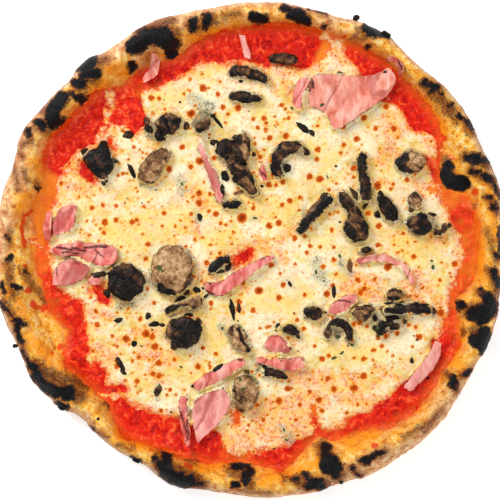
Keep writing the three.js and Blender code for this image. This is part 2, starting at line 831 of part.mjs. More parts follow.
function foldHeight(plan, folds) {
  return folds.reduce((top, [from, to, rise, halfWidth]) => {
    const gone = distanceToLine(plan, planPoint(from), planPoint(to)) / halfWidth;
    return Math.max(top, rise * Math.exp(-gone * gone));
  }, 0);
}

const SLICE_REACH = 2.4; // a slice clears the highest ground this near to each of its corners

// A thin limp sheet on an outline that its middle sees all of. It follows what it lies on.
function sheetRings(outline, folds, rings) {
  const middle = middleOf(outline);
  const rest = (plan) => groundWithin(plan, SLICE_REACH) + LAYER_GAP + foldHeight(plan, folds);
  const under = [[raised(middle, rest(middle))]];
  for (let step = 1; step <= rings; step += 1) {
    under.push(outline.map((corner) => {
      const plan = middle.clone().lerp(corner, step / rings);
      return raised(plan, rest(plan));
    }));
  }
  const over = under.map((ring) => ring.map((point) => point.clone().setZ(point.z + HAM_THICKNESS)));
  return [...under, ...over.reverse()];
}

const STRIP_SIDES = [-1, 0, 1]; // where a strip's cross-section has corners, across it
const STRIP_MIDDLE = 1; // the middle one

// A strip's end closes on the middle of its last section, halfway up.
function stripEnd(section) {
  const [under, over] = [section[STRIP_MIDDLE], section[section.length - 1 - STRIP_MIDDLE]];
  return [under.clone().lerp(over, 0.5)];
}

// Cross-sections of a strip, as loops of corners: along its underside, then back over its top.

function stripRings(slice, count, restAt, thicknessAt) {
  const stations = spineStations(slice, count);
  const sections = stations.map(({ plan, side, half }) => {
    const under = STRIP_SIDES.map((share) => {
      const corner = plan.clone().addScaledVector(side, share * half);
      return raised(corner, restAt(corner));
    });
    const over = STRIP_SIDES.map((share, index) => (
      under[index].clone().setZ(under[index].z + thicknessAt(share))
    ));
    return [...under, ...over.reverse()];
  });
  return [stripEnd(sections[0]), ...sections, stripEnd(sections[count - 1])];
}

const HAM_STRIP_STATIONS = 8;

function hamSlice({ outline, spine, halfWidths, folds, rings = HAM_RINGS }) {
  if (outline) {
    return skinRings(sheetRings(outline.map(planPoint), folds, rings));
  }
  const restAt = (plan) => groundWithin(plan, SLICE_REACH) + LAYER_GAP + foldHeight(plan, folds);
  const slice = { spine, halfWidths };
  return skinRings(stripRings(slice, HAM_STRIP_STATIONS, restAt, () => HAM_THICKNESS));
}

// A firm slice on a rounded outline: level below, with a soft edge and a low crown.
const EDGE_INSET = 0.9; // of the way out, where the flat of the slice ends
const EDGE_HEIGHT = 0.45; // of its thickness, where its edge is widest
const CROWN = 0.18; // of its thickness
const CROWN_RING = 0.45; // of the way out, how far the crown is level

function firmRings(outline, thick, base) {
  const middle = middleOf(outline);
  const loop = (share, z) => outline.map((corner) => (
    raised(middle.clone().lerp(corner, share), base + z)
  ));
  return [
    [raised(middle, base)],
    loop(EDGE_INSET, 0),
    loop(1, thick * EDGE_HEIGHT),
    loop(EDGE_INSET, thick),
    loop(CROWN_RING, thick * (1 + CROWN)),
    [raised(middle, base + thick * (1 + CROWN))],
  ];
}

const MUSHROOM_STRIP_STATIONS = 6;
const STRIP_CROWN = 0.75; // height of a strip's sides, as a share of its middle

function mushroomSlice(slice, base) {
  if (slice.outline) {
    return skinRings(firmRings(slice.outline.map(planPoint), slice.thick, base));
  }
  const thicknessAt = (share) => slice.thick * (share === 0 ? 1 : STRIP_CROWN);
  return skinRings(stripRings(slice, MUSHROOM_STRIP_STATIONS, () => base, thicknessAt));
}

function restingHeight(outline) {
  const middle = middleOf(outline);
  const tested = outline.flatMap((corner) => [corner, middle.clone().lerp(corner, 0.5)]);
  return Math.max(...[middle, ...tested].map((plan) => groundWithin(plan, SLICE_REACH)));
}

// ---- joining ------------------------------------------------------------------------------

const wasm = await Module();
wasm.setup();

function toManifold(geometry) {
  return new wasm.Manifold(new wasm.Mesh({
    numProp: 3,
    vertProperties: new Float32Array(geometry.attributes.position.array),
    triVerts: new Uint32Array(geometry.index.array),
  }));
}

function fromManifold(body) {
  const mesh = body.getMesh();
  const geometry = new THREE.BufferGeometry();
  const positions = new THREE.BufferAttribute(new Float32Array(mesh.vertProperties), 3);
  geometry.setAttribute('position', positions);
  geometry.setIndex(new THREE.BufferAttribute(new Uint32Array(mesh.triVerts), 1));
  geometry.computeVertexNormals();
  return geometry;
}

function fuse(geometries) {
  const [first, ...others] = geometries.map(toManifold);
  return fromManifold(others.reduce((body, other) => body.add(other), first));
}

// A scrap is a low flat-topped dome, sunk a little into the cheese.
const SCRAP_CORNERS = 7;
const SCRAP_TOP = 0.6; // width of its top, as a share of its foot
const SCRAP_DEPTH = 0.9; // of its middle, below the face of the cheese
const SCRAP_EDGE_DEPTH = 0.6;

function scrapSlice([across, down, halfLength, halfWidth, turn, rise]) {
  const angle = THREE.MathUtils.degToRad(turn);
  const middle = planPoint([across, down]);
  const outline = Array.from({ length: SCRAP_CORNERS }, (_, step) => {
    const round = (step / SCRAP_CORNERS) * 2 * Math.PI;
    const corner = new THREE.Vector2(
      halfLength * UNIT * Math.cos(round), halfWidth * UNIT * Math.sin(round),
    );
    return corner.rotateAround(new THREE.Vector2(), angle).add(middle);
  });
  const surface = groundHeight(middle.x, middle.y);
  return skinRings([
    [raised(middle, surface - SCRAP_DEPTH)],
    outline.map((corner) => raised(corner, surface - SCRAP_EDGE_DEPTH)),
    outline.map((corner) => raised(middle.clone().lerp(corner, SCRAP_TOP), surface + rise)),
    [raised(middle, surface + rise)],
  ]);
}

// ---- the pizza ----------------------------------------------------------------------------

const pizza = new THREE.Group();
pizza.position.set(...POLE_PLACE, 0);

function addPiece(name, kind, geometry) {
  const mesh = new THREE.Mesh(geometry, finish(kind));
  mesh.name = name;
  pizza.add(mesh);
  joinGround(geometry);
}

addPiece('dough', 'crust', skinRings(doughRings()));
addPiece('tomato_sauce', 'sauce', skinRings(sauceRings()));

const toppingSlices = [...Object.values(HAM_SLICES), ...Object.values(MUSHROOMS).flat()];
const cheese = skinRings(cheeseRings(toppingSlices.map(sliceOutline)));
joinGround(cheese);
const scraps = SCRAPS.map(scrapSlice);
ground.pop();
addPiece('cheese', 'cheese', fuse([cheese, ...scraps]));

Object.entries(MUSHROOMS).forEach(([name, slices]) => {
  const base = Math.max(...slices.map((slice) => restingHeight(sliceOutline(slice)))) + LAYER_GAP;
  const bodies = slices.map((slice) => mushroomSlice(slice, base));
  addPiece(name, 'mushroom', bodies.length > 1 ? fuse(bodies) : bodies[0]);
});

Object.entries(HAM_SLICES).forEach(([name, slice]) => {
  addPiece(name, 'ham', hamSlice(slice));
});

export default pizza;
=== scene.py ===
"""The looks of a baked pizza with prosciutto slices and mushrooms, seen from straight above.

Metres, +Z up, in the frame of the solids. Places on the pizza are plan places: units across
and down a square of PLAN_SPAN units that the crust just fills. Round the rim they are clock
places: degrees clockwise from the far side, and a radius in plan units.
"""

import math

import bpy
import numpy as np
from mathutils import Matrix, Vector
from mathutils.bvhtree import BVHTree


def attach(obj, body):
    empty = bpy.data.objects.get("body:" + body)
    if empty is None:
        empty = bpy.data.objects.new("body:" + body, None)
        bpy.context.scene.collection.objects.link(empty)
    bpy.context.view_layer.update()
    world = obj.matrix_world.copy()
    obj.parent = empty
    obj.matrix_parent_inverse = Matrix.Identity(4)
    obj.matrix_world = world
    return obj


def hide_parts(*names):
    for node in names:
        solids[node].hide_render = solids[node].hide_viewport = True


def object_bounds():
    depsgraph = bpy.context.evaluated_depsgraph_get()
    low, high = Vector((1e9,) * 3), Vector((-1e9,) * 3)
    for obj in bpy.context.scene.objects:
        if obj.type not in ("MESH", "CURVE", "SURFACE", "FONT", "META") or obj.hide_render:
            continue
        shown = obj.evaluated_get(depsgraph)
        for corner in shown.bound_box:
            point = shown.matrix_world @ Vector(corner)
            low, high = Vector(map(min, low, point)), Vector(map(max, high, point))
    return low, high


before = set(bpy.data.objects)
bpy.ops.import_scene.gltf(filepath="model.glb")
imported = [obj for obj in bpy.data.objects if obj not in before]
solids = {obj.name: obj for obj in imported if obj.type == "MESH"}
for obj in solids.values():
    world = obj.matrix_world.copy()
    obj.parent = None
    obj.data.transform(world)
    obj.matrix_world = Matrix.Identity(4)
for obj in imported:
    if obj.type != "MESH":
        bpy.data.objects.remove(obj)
solid_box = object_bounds()

MM = 0.001
PLAN_SPAN = 503
UNIT = 322 * MM / PLAN_SPAN  # a plan unit
POLE = (249.6, 249.3)  # the plan place that clock places turn round
POLE_AT = (0.45 * MM, 0.32 * MM)

# ---- the rim, by the clock ----------------------------------------------------------------

# Where the top of the crust turns over into its outer side.
RIM_EDGE = [
    (0, 247), (8, 249), (18, 247), (26, 253), (33, 254.5), (41, 250.5), (48, 252.5), (55, 256),
    (66, 254), (75, 257), (87, 251.5), (96, 253), (108, 257), (113, 257.5), (117, 254),
    (133, 258), (146, 257), (154, 256), (158, 250.5), (163, 252), (175, 249), (190, 244.5),
    (197, 248), (208, 239), (214, 241), (225, 237.5), (231, 248), (239, 254), (245, 252),
    (258, 257), (272, 252), (280, 253.5), (289, 251), (296, 257), (306, 250), (314, 247),
    (318, 251.5), (324, 244), (337, 248.5), (349, 244),
]
# How far out the sauce stains the crust, and how red it is there.
SAUCE_EDGE = [
    (0, 222), (5, 226), (10, 228), (18, 229), (22, 230), (35, 232), (43, 228), (50, 230),
    (55, 227), (60, 223), (64, 212), (67, 205), (72, 203), (76, 225), (83, 231), (90, 229),
    (98, 226), (104, 211), (110, 223), (115, 232), (122, 227), (127, 230), (135, 231),
    (142, 226), (147, 214), (152, 212), (157, 207), (160, 199), (164, 206), (168, 215),
    (172, 225), (177, 216), (184, 214), (190, 218), (200, 219), (208, 220), (214, 227),
    (222, 210), (230, 210), (238, 219), (246, 199), (253, 211), (262, 211), (268, 215),
    (274, 214), (281, 222), (288, 215), (293, 226), (300, 228), (308, 222), (316, 220),
    (322, 207), (328, 212), (333, 207), (341, 206), (346, 215), (352, 220),
]
REDNESS = [
    (0, 1), (17, 1), (20, 0.3), (24, 0.25), (28, 1), (40, 1), (62, 0.8), (66, 0.5), (72, 0.3),
    (78, 0.45), (85, 0.5), (100, 0.45), (110, 0.35), (115, 0.8), (125, 0.8), (128, 1), (142, 1),
    (148, 0.8), (155, 0.5), (160, 0.6), (166, 0.95), (176, 0.95), (180, 0.45), (188, 0.5),
    (192, 0.95), (214, 1), (222, 0.6), (228, 0.8), (238, 1), (246, 0.7), (252, 0.7), (262, 0.5),
    (268, 0.3), (281, 0.3), (290, 0.3), (295, 1), (316, 1), (324, 0.5), (330, 0.6),
    (336, 0.9), (345, 1),
]
CHEESE_EDGE = [
    (0, 187), (8, 187), (15, 189), (19, 200), (23, 222), (28, 217), (32, 203), (38, 197),
    (44, 205), (53, 205), (58, 216), (63, 214), (68, 197), (74, 196), (81, 208), (92, 215),
    (103, 207), (114, 212), (127, 211), (140, 204), (148, 198), (152, 205), (157, 198),
    (160, 186), (163, 197), (173, 203), (181, 208), (186, 204), (190, 187), (204, 184),
    (215, 196), (226, 195), (231, 189), (236, 199), (241, 188), (253, 178), (259, 198),
    (268, 203), (272, 208), (277, 197), (290, 206), (298, 203), (304, 188), (312, 186),
    (316, 166), (320, 163), (325, 190), (338, 190), (346, 195), (351, 188),
]
# The pale outer side of the crust: how broad it is as a share of the rim.
PALE_SIDE = [
    (0, 0.12), (20, 0.2), (60, 0.08), (110, 0.05), (118, 0.35), (130, 0.5), (150, 0.45),
    (165, 0.2), (190, 0.3), (215, 0.25), (245, 0.05), (265, 0.1), (273, 0.45), (290, 0.55),
    (300, 0.4), (312, 0.15), (325, 0.35), (345, 0.3),
]
# How golden rather than tan the crust is, and how scorched its edge.
GOLDEN = [
    (0, 0.5), (20, 0.35), (45, 0.8), (70, 0.9), (100, 1), (115, 0.9), (130, 0.45), (150, 0.5),
    (165, 0.7), (185, 0.8), (205, 0.7), (225, 0.6), (240, 0.7), (262, 0.8), (275, 0.5),
    (295, 0.5), (312, 0.7), (330, 0.35), (350, 0.6),
]
EDGE_SCORCH = [
    (0, 0.7), (17, 0.9), (20, 0.4), (30, 1), (36, 0.8), (50, 0.6), (62, 1), (76, 1), (92, 0.9),
    (110, 0.9), (117, 0.35), (134, 0.25), (152, 0.3), (160, 0.5), (175, 0.6), (190, 0.9), (198, 1),
    (210, 0.8),
    (222, 0.8), (232, 1), (243, 1), (250, 0.8), (262, 1), (270, 0.5), (282, 0.15), (294, 0.7),
    (305, 1), (322, 1), (326, 0.3), (334, 0.7), (344, 0.8), (352, 0.5),
]

# Charred places: strokes from one plan place to another, and half their width.
CHARRED = [
    (135, 47, 150, 38, 7.5), (148, 37, 164, 37, 9.5), (163, 38, 172, 44, 8), (169, 46, 171, 51, 7),
    (131, 50, 142, 49, 4), (131, 66, 131, 69, 4), (193, 22, 193, 28, 4), (208, 19, 207, 22, 5),
    (203, 27, 206, 28, 1.6), (84, 67, 92, 62, 6.5), (85, 76, 96, 74, 5), (77, 84, 82, 84, 5),
    (56, 108, 64, 98, 6), (55, 112, 54, 122, 6.6), (58, 123, 70, 122, 4), (40, 124, 42, 126, 4.4),
    (82, 99, 84, 102, 4.6), (76, 98, 80, 97, 2.6), (71, 95, 73, 95, 2.4), (29, 133, 30, 136, 3),
    (37, 189, 38, 189, 1.6), (254, 18, 263, 19, 4.4), (265, 22, 266, 23, 2.2),
    (284, 9, 292, 12, 3.6), (294, 15, 300, 18, 7), (306, 20, 308, 23, 4), (310, 10, 324, 14, 1.5),
    (323, 27, 324, 28, 1.8), (366, 29, 374, 33, 4.8), (378, 34, 388, 36, 3.8),
    (368, 47, 369, 47, 2), (423, 83, 424, 83, 2.4), (428, 86, 434, 88, 3), (439, 94, 441, 95, 1.8),
    (430, 91, 431, 92, 1.8), (446, 106, 450, 105, 1.4), (459, 117, 460, 118, 2.8),
    (466, 120, 472, 128, 2.2), (447, 168, 450, 166, 4.6), (444, 176, 450, 176, 5.6),
    (450, 181, 462, 183, 8), (468, 158, 476, 158, 4), (472, 162, 484, 160, 3.2),
    (470, 171, 478, 172, 1.6), (484, 176, 490, 180, 3.2), (493, 184, 498, 198, 1.4),
    (486, 199, 490, 199, 1.6), (491, 207, 493, 208, 2.6), (464, 213, 467, 209, 2.4),
    (498, 228, 499, 250, 1.4), (494, 254, 498, 256, 2.2), (492, 272, 496, 284, 3.2),
    (480, 290, 482, 291, 1.3), (461, 304, 462, 306, 3.8), (486, 298, 490, 304, 6),
    (474, 314, 488, 312, 7.4), (478, 320, 484, 318, 4.6), (482, 332, 484, 336, 5.6),
    (474, 340, 482, 344, 6.6), (480, 346, 482, 350, 4.6), (452, 379, 452, 386, 4),
    (464, 374, 468, 371, 2.6), (427, 378, 428, 378, 1.8), (365, 459, 366, 460, 4.2),
    (370, 457, 382, 452, 2.1), (351, 465, 352, 466, 2), (356, 473, 360, 474, 1.4),
    (324, 450, 328, 448, 4), (326, 456, 334, 460, 5.4), (326, 466, 336, 466, 6.6),
    (334, 472, 336, 474, 3.8), (305, 473, 306, 474, 2.2), (312, 482, 318, 482, 5.6),
    (308, 484, 322, 486, 4), (290, 478, 298, 478, 1.2), (234, 467, 242, 467, 3),
    (246, 475, 250, 472, 4.2), (244, 481, 246, 479, 3.6), (233, 484, 236, 484, 3.2),
    (248, 467, 249, 470, 2.4), (155, 457, 157, 457, 2.4), (166, 454, 168, 462, 4),
    (162, 464, 168, 466, 5), (166, 472, 178, 476, 6.6), (178, 480, 190, 480, 5.6),
    (196, 482, 202, 482, 1.6), (134, 457, 140, 460, 2.2), (172, 448, 174, 449, 1.3),
    (33, 366, 36, 368, 4), (38, 374, 42, 380, 5.2), (46, 386, 56, 392, 6.2),
    (56, 392, 72, 391, 5.2), (62, 396, 74, 396, 2.6), (60, 404, 66, 406, 4),
    (110, 404, 114, 404, 1.6), (92, 426, 96, 428, 1.3), (2, 302, 10, 314, 1.5),
    (16, 320, 22, 322, 2.6), (19, 326, 22, 342, 2.1), (24, 350, 30, 362, 1.2),
    (9, 259, 12, 257, 1.8), (4, 284, 5, 292, 1.8), (15, 287, 19, 288, 2),
    (26, 272, 28, 273, 1.1), (23, 322, 26, 324, 1.5), (8, 236, 10, 240, 1.1),
]
# Browned places, as strokes too.
BROWNED = [
    (140, 32, 172, 22, 6), (170, 28, 178, 34, 4), (190, 25, 198, 27, 6), (204, 22, 214, 20, 6),
    (205, 28, 212, 26, 2.6), (224, 16, 238, 14, 3.4), (100, 66, 106, 60, 5), (88, 82, 98, 82, 4),
    (74, 92, 86, 88, 4), (66, 122, 74, 124, 3), (44, 108, 48, 120, 4), (36, 130, 50, 133, 3),
    (22, 146, 30, 142, 4), (20, 152, 24, 158, 3.4), (24, 172, 28, 180, 4), (36, 184, 40, 190, 3),
    (312, 12, 326, 16, 3), (326, 26, 330, 24, 2), (358, 32, 366, 36, 4), (340, 40, 380, 38, 1.4),
    (424, 84, 436, 90, 6), (436, 96, 452, 112, 6), (440, 104, 456, 122, 4), (462, 120, 472, 134, 4),
    (446, 160, 452, 172, 6), (440, 170, 446, 186, 4), (466, 156, 484, 166, 6),
    (470, 170, 492, 184, 5), (462, 214, 470, 208, 5), (486, 198, 496, 212, 5),
    (486, 230, 495, 262, 2.6), (488, 270, 496, 292, 5), (478, 292, 486, 300, 5),
    (456, 304, 464, 308, 5), (470, 312, 492, 306, 9), (474, 332, 486, 346, 8),
    (450, 340, 462, 332, 4), (448, 376, 456, 390, 5), (460, 376, 470, 370, 4),
    (426, 380, 432, 378, 3), (360, 460, 384, 450, 4), (350, 466, 360, 474, 4),
    (322, 450, 338, 474, 9), (300, 480, 324, 484, 8), (284, 478, 296, 478, 4),
    (246, 466, 250, 484, 6), (230, 468, 244, 480, 5), (158, 452, 176, 448, 3.6),
    (160, 462, 200, 482, 9), (186, 458, 196, 464, 3), (36, 364, 80, 396, 8),
    (50, 374, 84, 384, 7), (106, 402, 118, 408, 4), (98, 432, 108, 436, 3),
    (120, 444, 132, 448, 3), (14, 318, 26, 352, 4.6), (6, 300, 14, 316, 4),
    (8, 262, 14, 296, 5), (20, 268, 44, 300, 3), (10, 230, 10, 245, 3), (404, 436, 430, 420, 3),
    (424, 430, 440, 410, 3), (238, 490, 270, 492, 2), (10, 160, 20, 190, 3),
]
# Bright drops of sauce on the crust: plan place and radius.
SAUCE_DROPS = [
    (326, 24, 2), (26, 267, 3.4), (46, 267, 3.6), (29, 290, 4.4), (33, 304, 3.6), (51, 297, 4.4),
    (46, 284, 2.2), (374, 445, 4.2), (475, 192, 4.2), (425, 108, 3), (43, 262, 2.4), (60, 346, 4),
    (66, 352, 4), (53, 352, 2.6), (452, 123, 2), (443, 112, 2), (257, 26, 4), (200, 52, 2),
    (450, 166, 1.2), (408, 118, 2), (250, 30, 3), (296, 28, 4), (42, 310, 3), (20, 272, 2),
]
# Streaks of sauce on the crust.
SAUCE_STREAKS = [
    (23, 228, 25, 217, 2.6), (25, 217, 32, 211, 2.4), (32, 211, 40, 210, 2),
    (23, 228, 25, 246, 2.8), (30, 238, 40, 240, 1.6),
    (46, 152, 52, 164, 4), (48, 148, 62, 146, 4), (40, 204, 46, 194, 3.4), (430, 124, 444, 138, 3.4),
    (34, 306, 48, 308, 3), (50, 290, 54, 306, 4), (186, 464, 192, 468, 3), (330, 40, 344, 36, 2),
    (404, 88, 422, 118, 6),
]
# Bright orange oil on the crust.
OILY = [
    (50, 168, 52, 200, 5), (46, 186, 44, 204, 5), (58, 292, 80, 285, 6), (60, 300, 84, 292, 5),
    (95, 92, 104, 84, 5), (110, 70, 124, 72, 6), (190, 38, 232, 30, 4), (346, 436, 372, 430, 8),
    (352, 446, 366, 440, 5), (404, 406, 420, 398, 5), (452, 358, 462, 372, 6),
    (424, 104, 442, 132, 6), (446, 200, 460, 206, 5), (478, 240, 482, 280, 4),
    (150, 446, 168, 436, 4), (200, 468, 236, 460, 5), (262, 480, 290, 472, 6), (120, 432, 140, 444, 5),
    (18, 300, 24, 314, 4), (26, 196, 20, 214, 4), (32, 340, 50, 356, 5), (36, 160, 40, 176, 3),
    (300, 470, 316, 462, 4), (448, 300, 458, 340, 5), (84, 370, 92, 392, 4), (488, 190, 494, 240, 3),
]

# ---- cheese, in plan places ----------------------------------------------------------------

# Thin reddish places: strokes and half widths. Sauce shows through the cheese there.
THIN_CHEESE = [
    (164, 66, 190, 72, 7), (196, 62, 226, 64, 4), (118, 88, 124, 96, 5), (104, 108, 112, 128, 5),
    (62, 162, 82, 172, 7), (64, 186, 86, 190, 6), (84, 310, 110, 318, 6), (92, 322, 98, 328, 4),
    (120, 340, 128, 342, 5), (134, 334, 152, 333, 6), (150, 346, 160, 352, 6), (142, 354, 170, 362, 6),
    (172, 352, 176, 362, 3), (150, 372, 162, 380, 5), (98, 350, 112, 358, 7), (100, 395, 122, 400, 7),
    (222, 440, 250, 450, 9), (234, 424, 246, 440, 6), (262, 412, 300, 408, 14), (264, 430, 304, 434, 12),
    (294, 376, 326, 380, 10), (300, 396, 322, 402, 9), (330, 384, 336, 392, 6), (346, 376, 360, 380, 7),
    (350, 384, 358, 394, 7), (376, 368, 398, 378, 4), (388, 118, 398, 132, 8), (382, 152, 396, 154, 6),
    (386, 132, 392, 146, 6), (374, 158, 384, 164, 4), (428, 140, 444, 150, 6), (424, 186, 442, 190, 6),
    (414, 182, 424, 196, 4), (440, 196, 460, 214, 5), (458, 230, 464, 290, 5), (438, 300, 446, 336, 6),
    (352, 262, 362, 262, 3), (354, 278, 374, 282, 8), (346, 288, 378, 296, 7), (416, 276, 428, 290, 7),
    (406, 284, 420, 298, 5), (372, 386, 390, 372, 4), (284, 78, 294, 96, 5), (272, 82, 276, 94, 3),
    (268, 70, 286, 76, 5), (300, 60, 320, 66, 5), (326, 44, 344, 60, 7), (258, 240, 268, 250, 5),
    (278, 242, 292, 232, 4), (278, 250, 286, 262, 4), (236, 284, 246, 290, 4), (238, 298, 242, 312, 3),
    (192, 190, 204, 206, 5), (194, 222, 200, 236, 3), (340, 400, 372, 402, 6), (376, 182, 392, 184, 3),
    (130, 78, 150, 88, 4), (430, 240, 446, 240, 4), (220, 262, 232, 250, 3), (290, 62, 300, 72, 3),
]
# Sauce with no cheese on it.
BARE_SAUCE = [
    (124, 97, 131, 116, 5), (129, 118, 134, 130, 4), (94, 284, 103, 298, 5), (84, 164, 92, 178, 4),
    (236, 260, 250, 252, 5), (78, 320, 82, 350, 5), (96, 366, 101, 388, 4.5), (114, 388, 124, 391, 3.6),
    (312, 408, 315, 420, 1.6), (315, 422, 318, 434, 3), (236, 414, 238, 422, 2.4), (430, 160, 434, 168, 4),
    (110, 143, 114, 150, 2.6), (170, 71, 174, 74, 2.2), (188, 67, 190, 70, 2), (430, 188, 436, 190, 2.4),
    (300, 44, 306, 60, 4), (350, 42, 372, 66, 7), (320, 437, 332, 439, 2),
]
# Islands of cheese on the sauce band.
CHEESE_ISLANDS = [
    (324, 36, 342, 46, 6), (334, 52, 346, 62, 5), (112, 92, 106, 120, 5), (104, 126, 100, 138, 3.4),
    (62, 168, 80, 176, 6), (66, 186, 84, 192, 6), (76, 295, 88, 298, 5), (28, 242, 40, 246, 4),
    (100, 392, 112, 396, 4), (226, 440, 252, 446, 8), (444, 150, 452, 158, 4), (100, 340, 92, 352, 5),
    (60, 168, 72, 160, 4),
]
# Thick white runs of cheese.
RICH_CHEESE = [
    (200, 96, 214, 104, 9), (236, 122, 250, 128, 8), (205, 175, 215, 180, 8), (160, 200, 180, 190, 8),
    (120, 210, 100, 200, 6), (140, 300, 165, 304, 7), (182, 344, 200, 346, 8), (255, 330, 262, 346, 7),
    (228, 84, 262, 88, 6), (270, 370, 262, 384, 6), (262, 146, 256, 130, 5), (300, 160, 312, 168, 9),
    (352, 182, 340, 186, 6), (285, 166, 296, 174, 7), (426, 202, 440, 218, 8), (424, 196, 432, 200, 6),
    (96, 176, 120, 184, 6), (200, 250, 180, 236, 4), (196, 256, 214, 268, 8), (376, 128, 384, 140, 6),
    (270, 90, 280, 112, 6), (150, 292, 146, 276, 4), (322, 300, 318, 294, 6), (110, 148, 132, 144, 6),
    (330, 426, 342, 424, 8), (362, 272, 400, 274, 7), (336, 330, 344, 340, 4), (390, 346, 410, 338, 8),
    (430, 322, 416, 318, 5), (380, 400, 360, 396, 4), (272, 272, 300, 268, 6), (150, 408, 172, 404, 6),
    (350, 128, 370, 146, 10), (330, 108, 316, 114, 6), (60, 236, 80, 238, 5), (230, 334, 236, 326, 3),
    (314, 430, 322, 424, 3), (182, 168, 172, 176, 6), (215, 150, 216, 160, 5), (226, 186, 234, 190, 5),
]
YELLOW_CHEESE = [
    (124, 232, 176, 222, 18), (186, 190, 206, 200, 8), (240, 205, 290, 215, 14), (155, 92, 178, 96, 9),
    (104, 364, 110, 384, 7), (204, 318, 216, 340, 10), (256, 302, 292, 306, 10), (300, 286, 312, 296, 6),
    (258, 104, 270, 124, 7), (360, 136, 364, 140, 3), (110, 228, 140, 246, 10), (330, 232, 326, 244, 8),
    (304, 178, 330, 160, 8), (206, 240, 230, 236, 10), (396, 244, 420, 262, 8), (404, 236, 430, 244, 6),
    (350, 400, 340, 386, 7), (134, 182, 150, 198, 5), (200, 380, 170, 372, 6), (270, 178, 300, 184, 7),
    (150, 388, 140, 376, 6), (380, 352, 340, 352, 10), (210, 72, 226, 66, 5), (430, 290, 442, 284, 5),
]
# Grey places by the mushrooms: partly mushroom lying under thin cheese, partly painted shadow.
GREY_AND_SHADOW_CHEESE = [
    (192, 98, 208, 106, 8), (196, 120, 206, 112, 8), (145, 118, 152, 124, 5), (180, 180, 184, 192, 6),
    (196, 210, 198, 220, 4), (316, 264, 322, 280, 7), (342, 262, 350, 272, 6), (334, 330, 340, 336, 4),
    (118, 308, 132, 306, 5), (118, 318, 122, 322, 4), (157, 386, 158, 398, 5), (282, 428, 290, 440, 6),
    (376, 314, 380, 326, 5), (336, 357, 342, 354, 2), (432, 262, 434, 268, 3), (350, 344, 356, 346, 3),
    (219, 326, 224, 330, 3), (284, 166, 290, 172, 5), (252, 217, 258, 219, 3), (288, 281, 292, 286, 3),
    (340, 254, 342, 258, 2.4), (222, 260, 226, 256, 3), (256, 370, 252, 362, 3), (402, 318, 408, 322, 4),
    (232, 70, 230, 76, 3), (360, 168, 352, 164, 4), (412, 228, 418, 236, 3), (388, 282, 386, 276, 3),
    (156, 190, 140, 184, 2), (434, 308, 434, 316, 3), (304, 212, 312, 216, 4), (246, 376, 256, 380, 3),
]

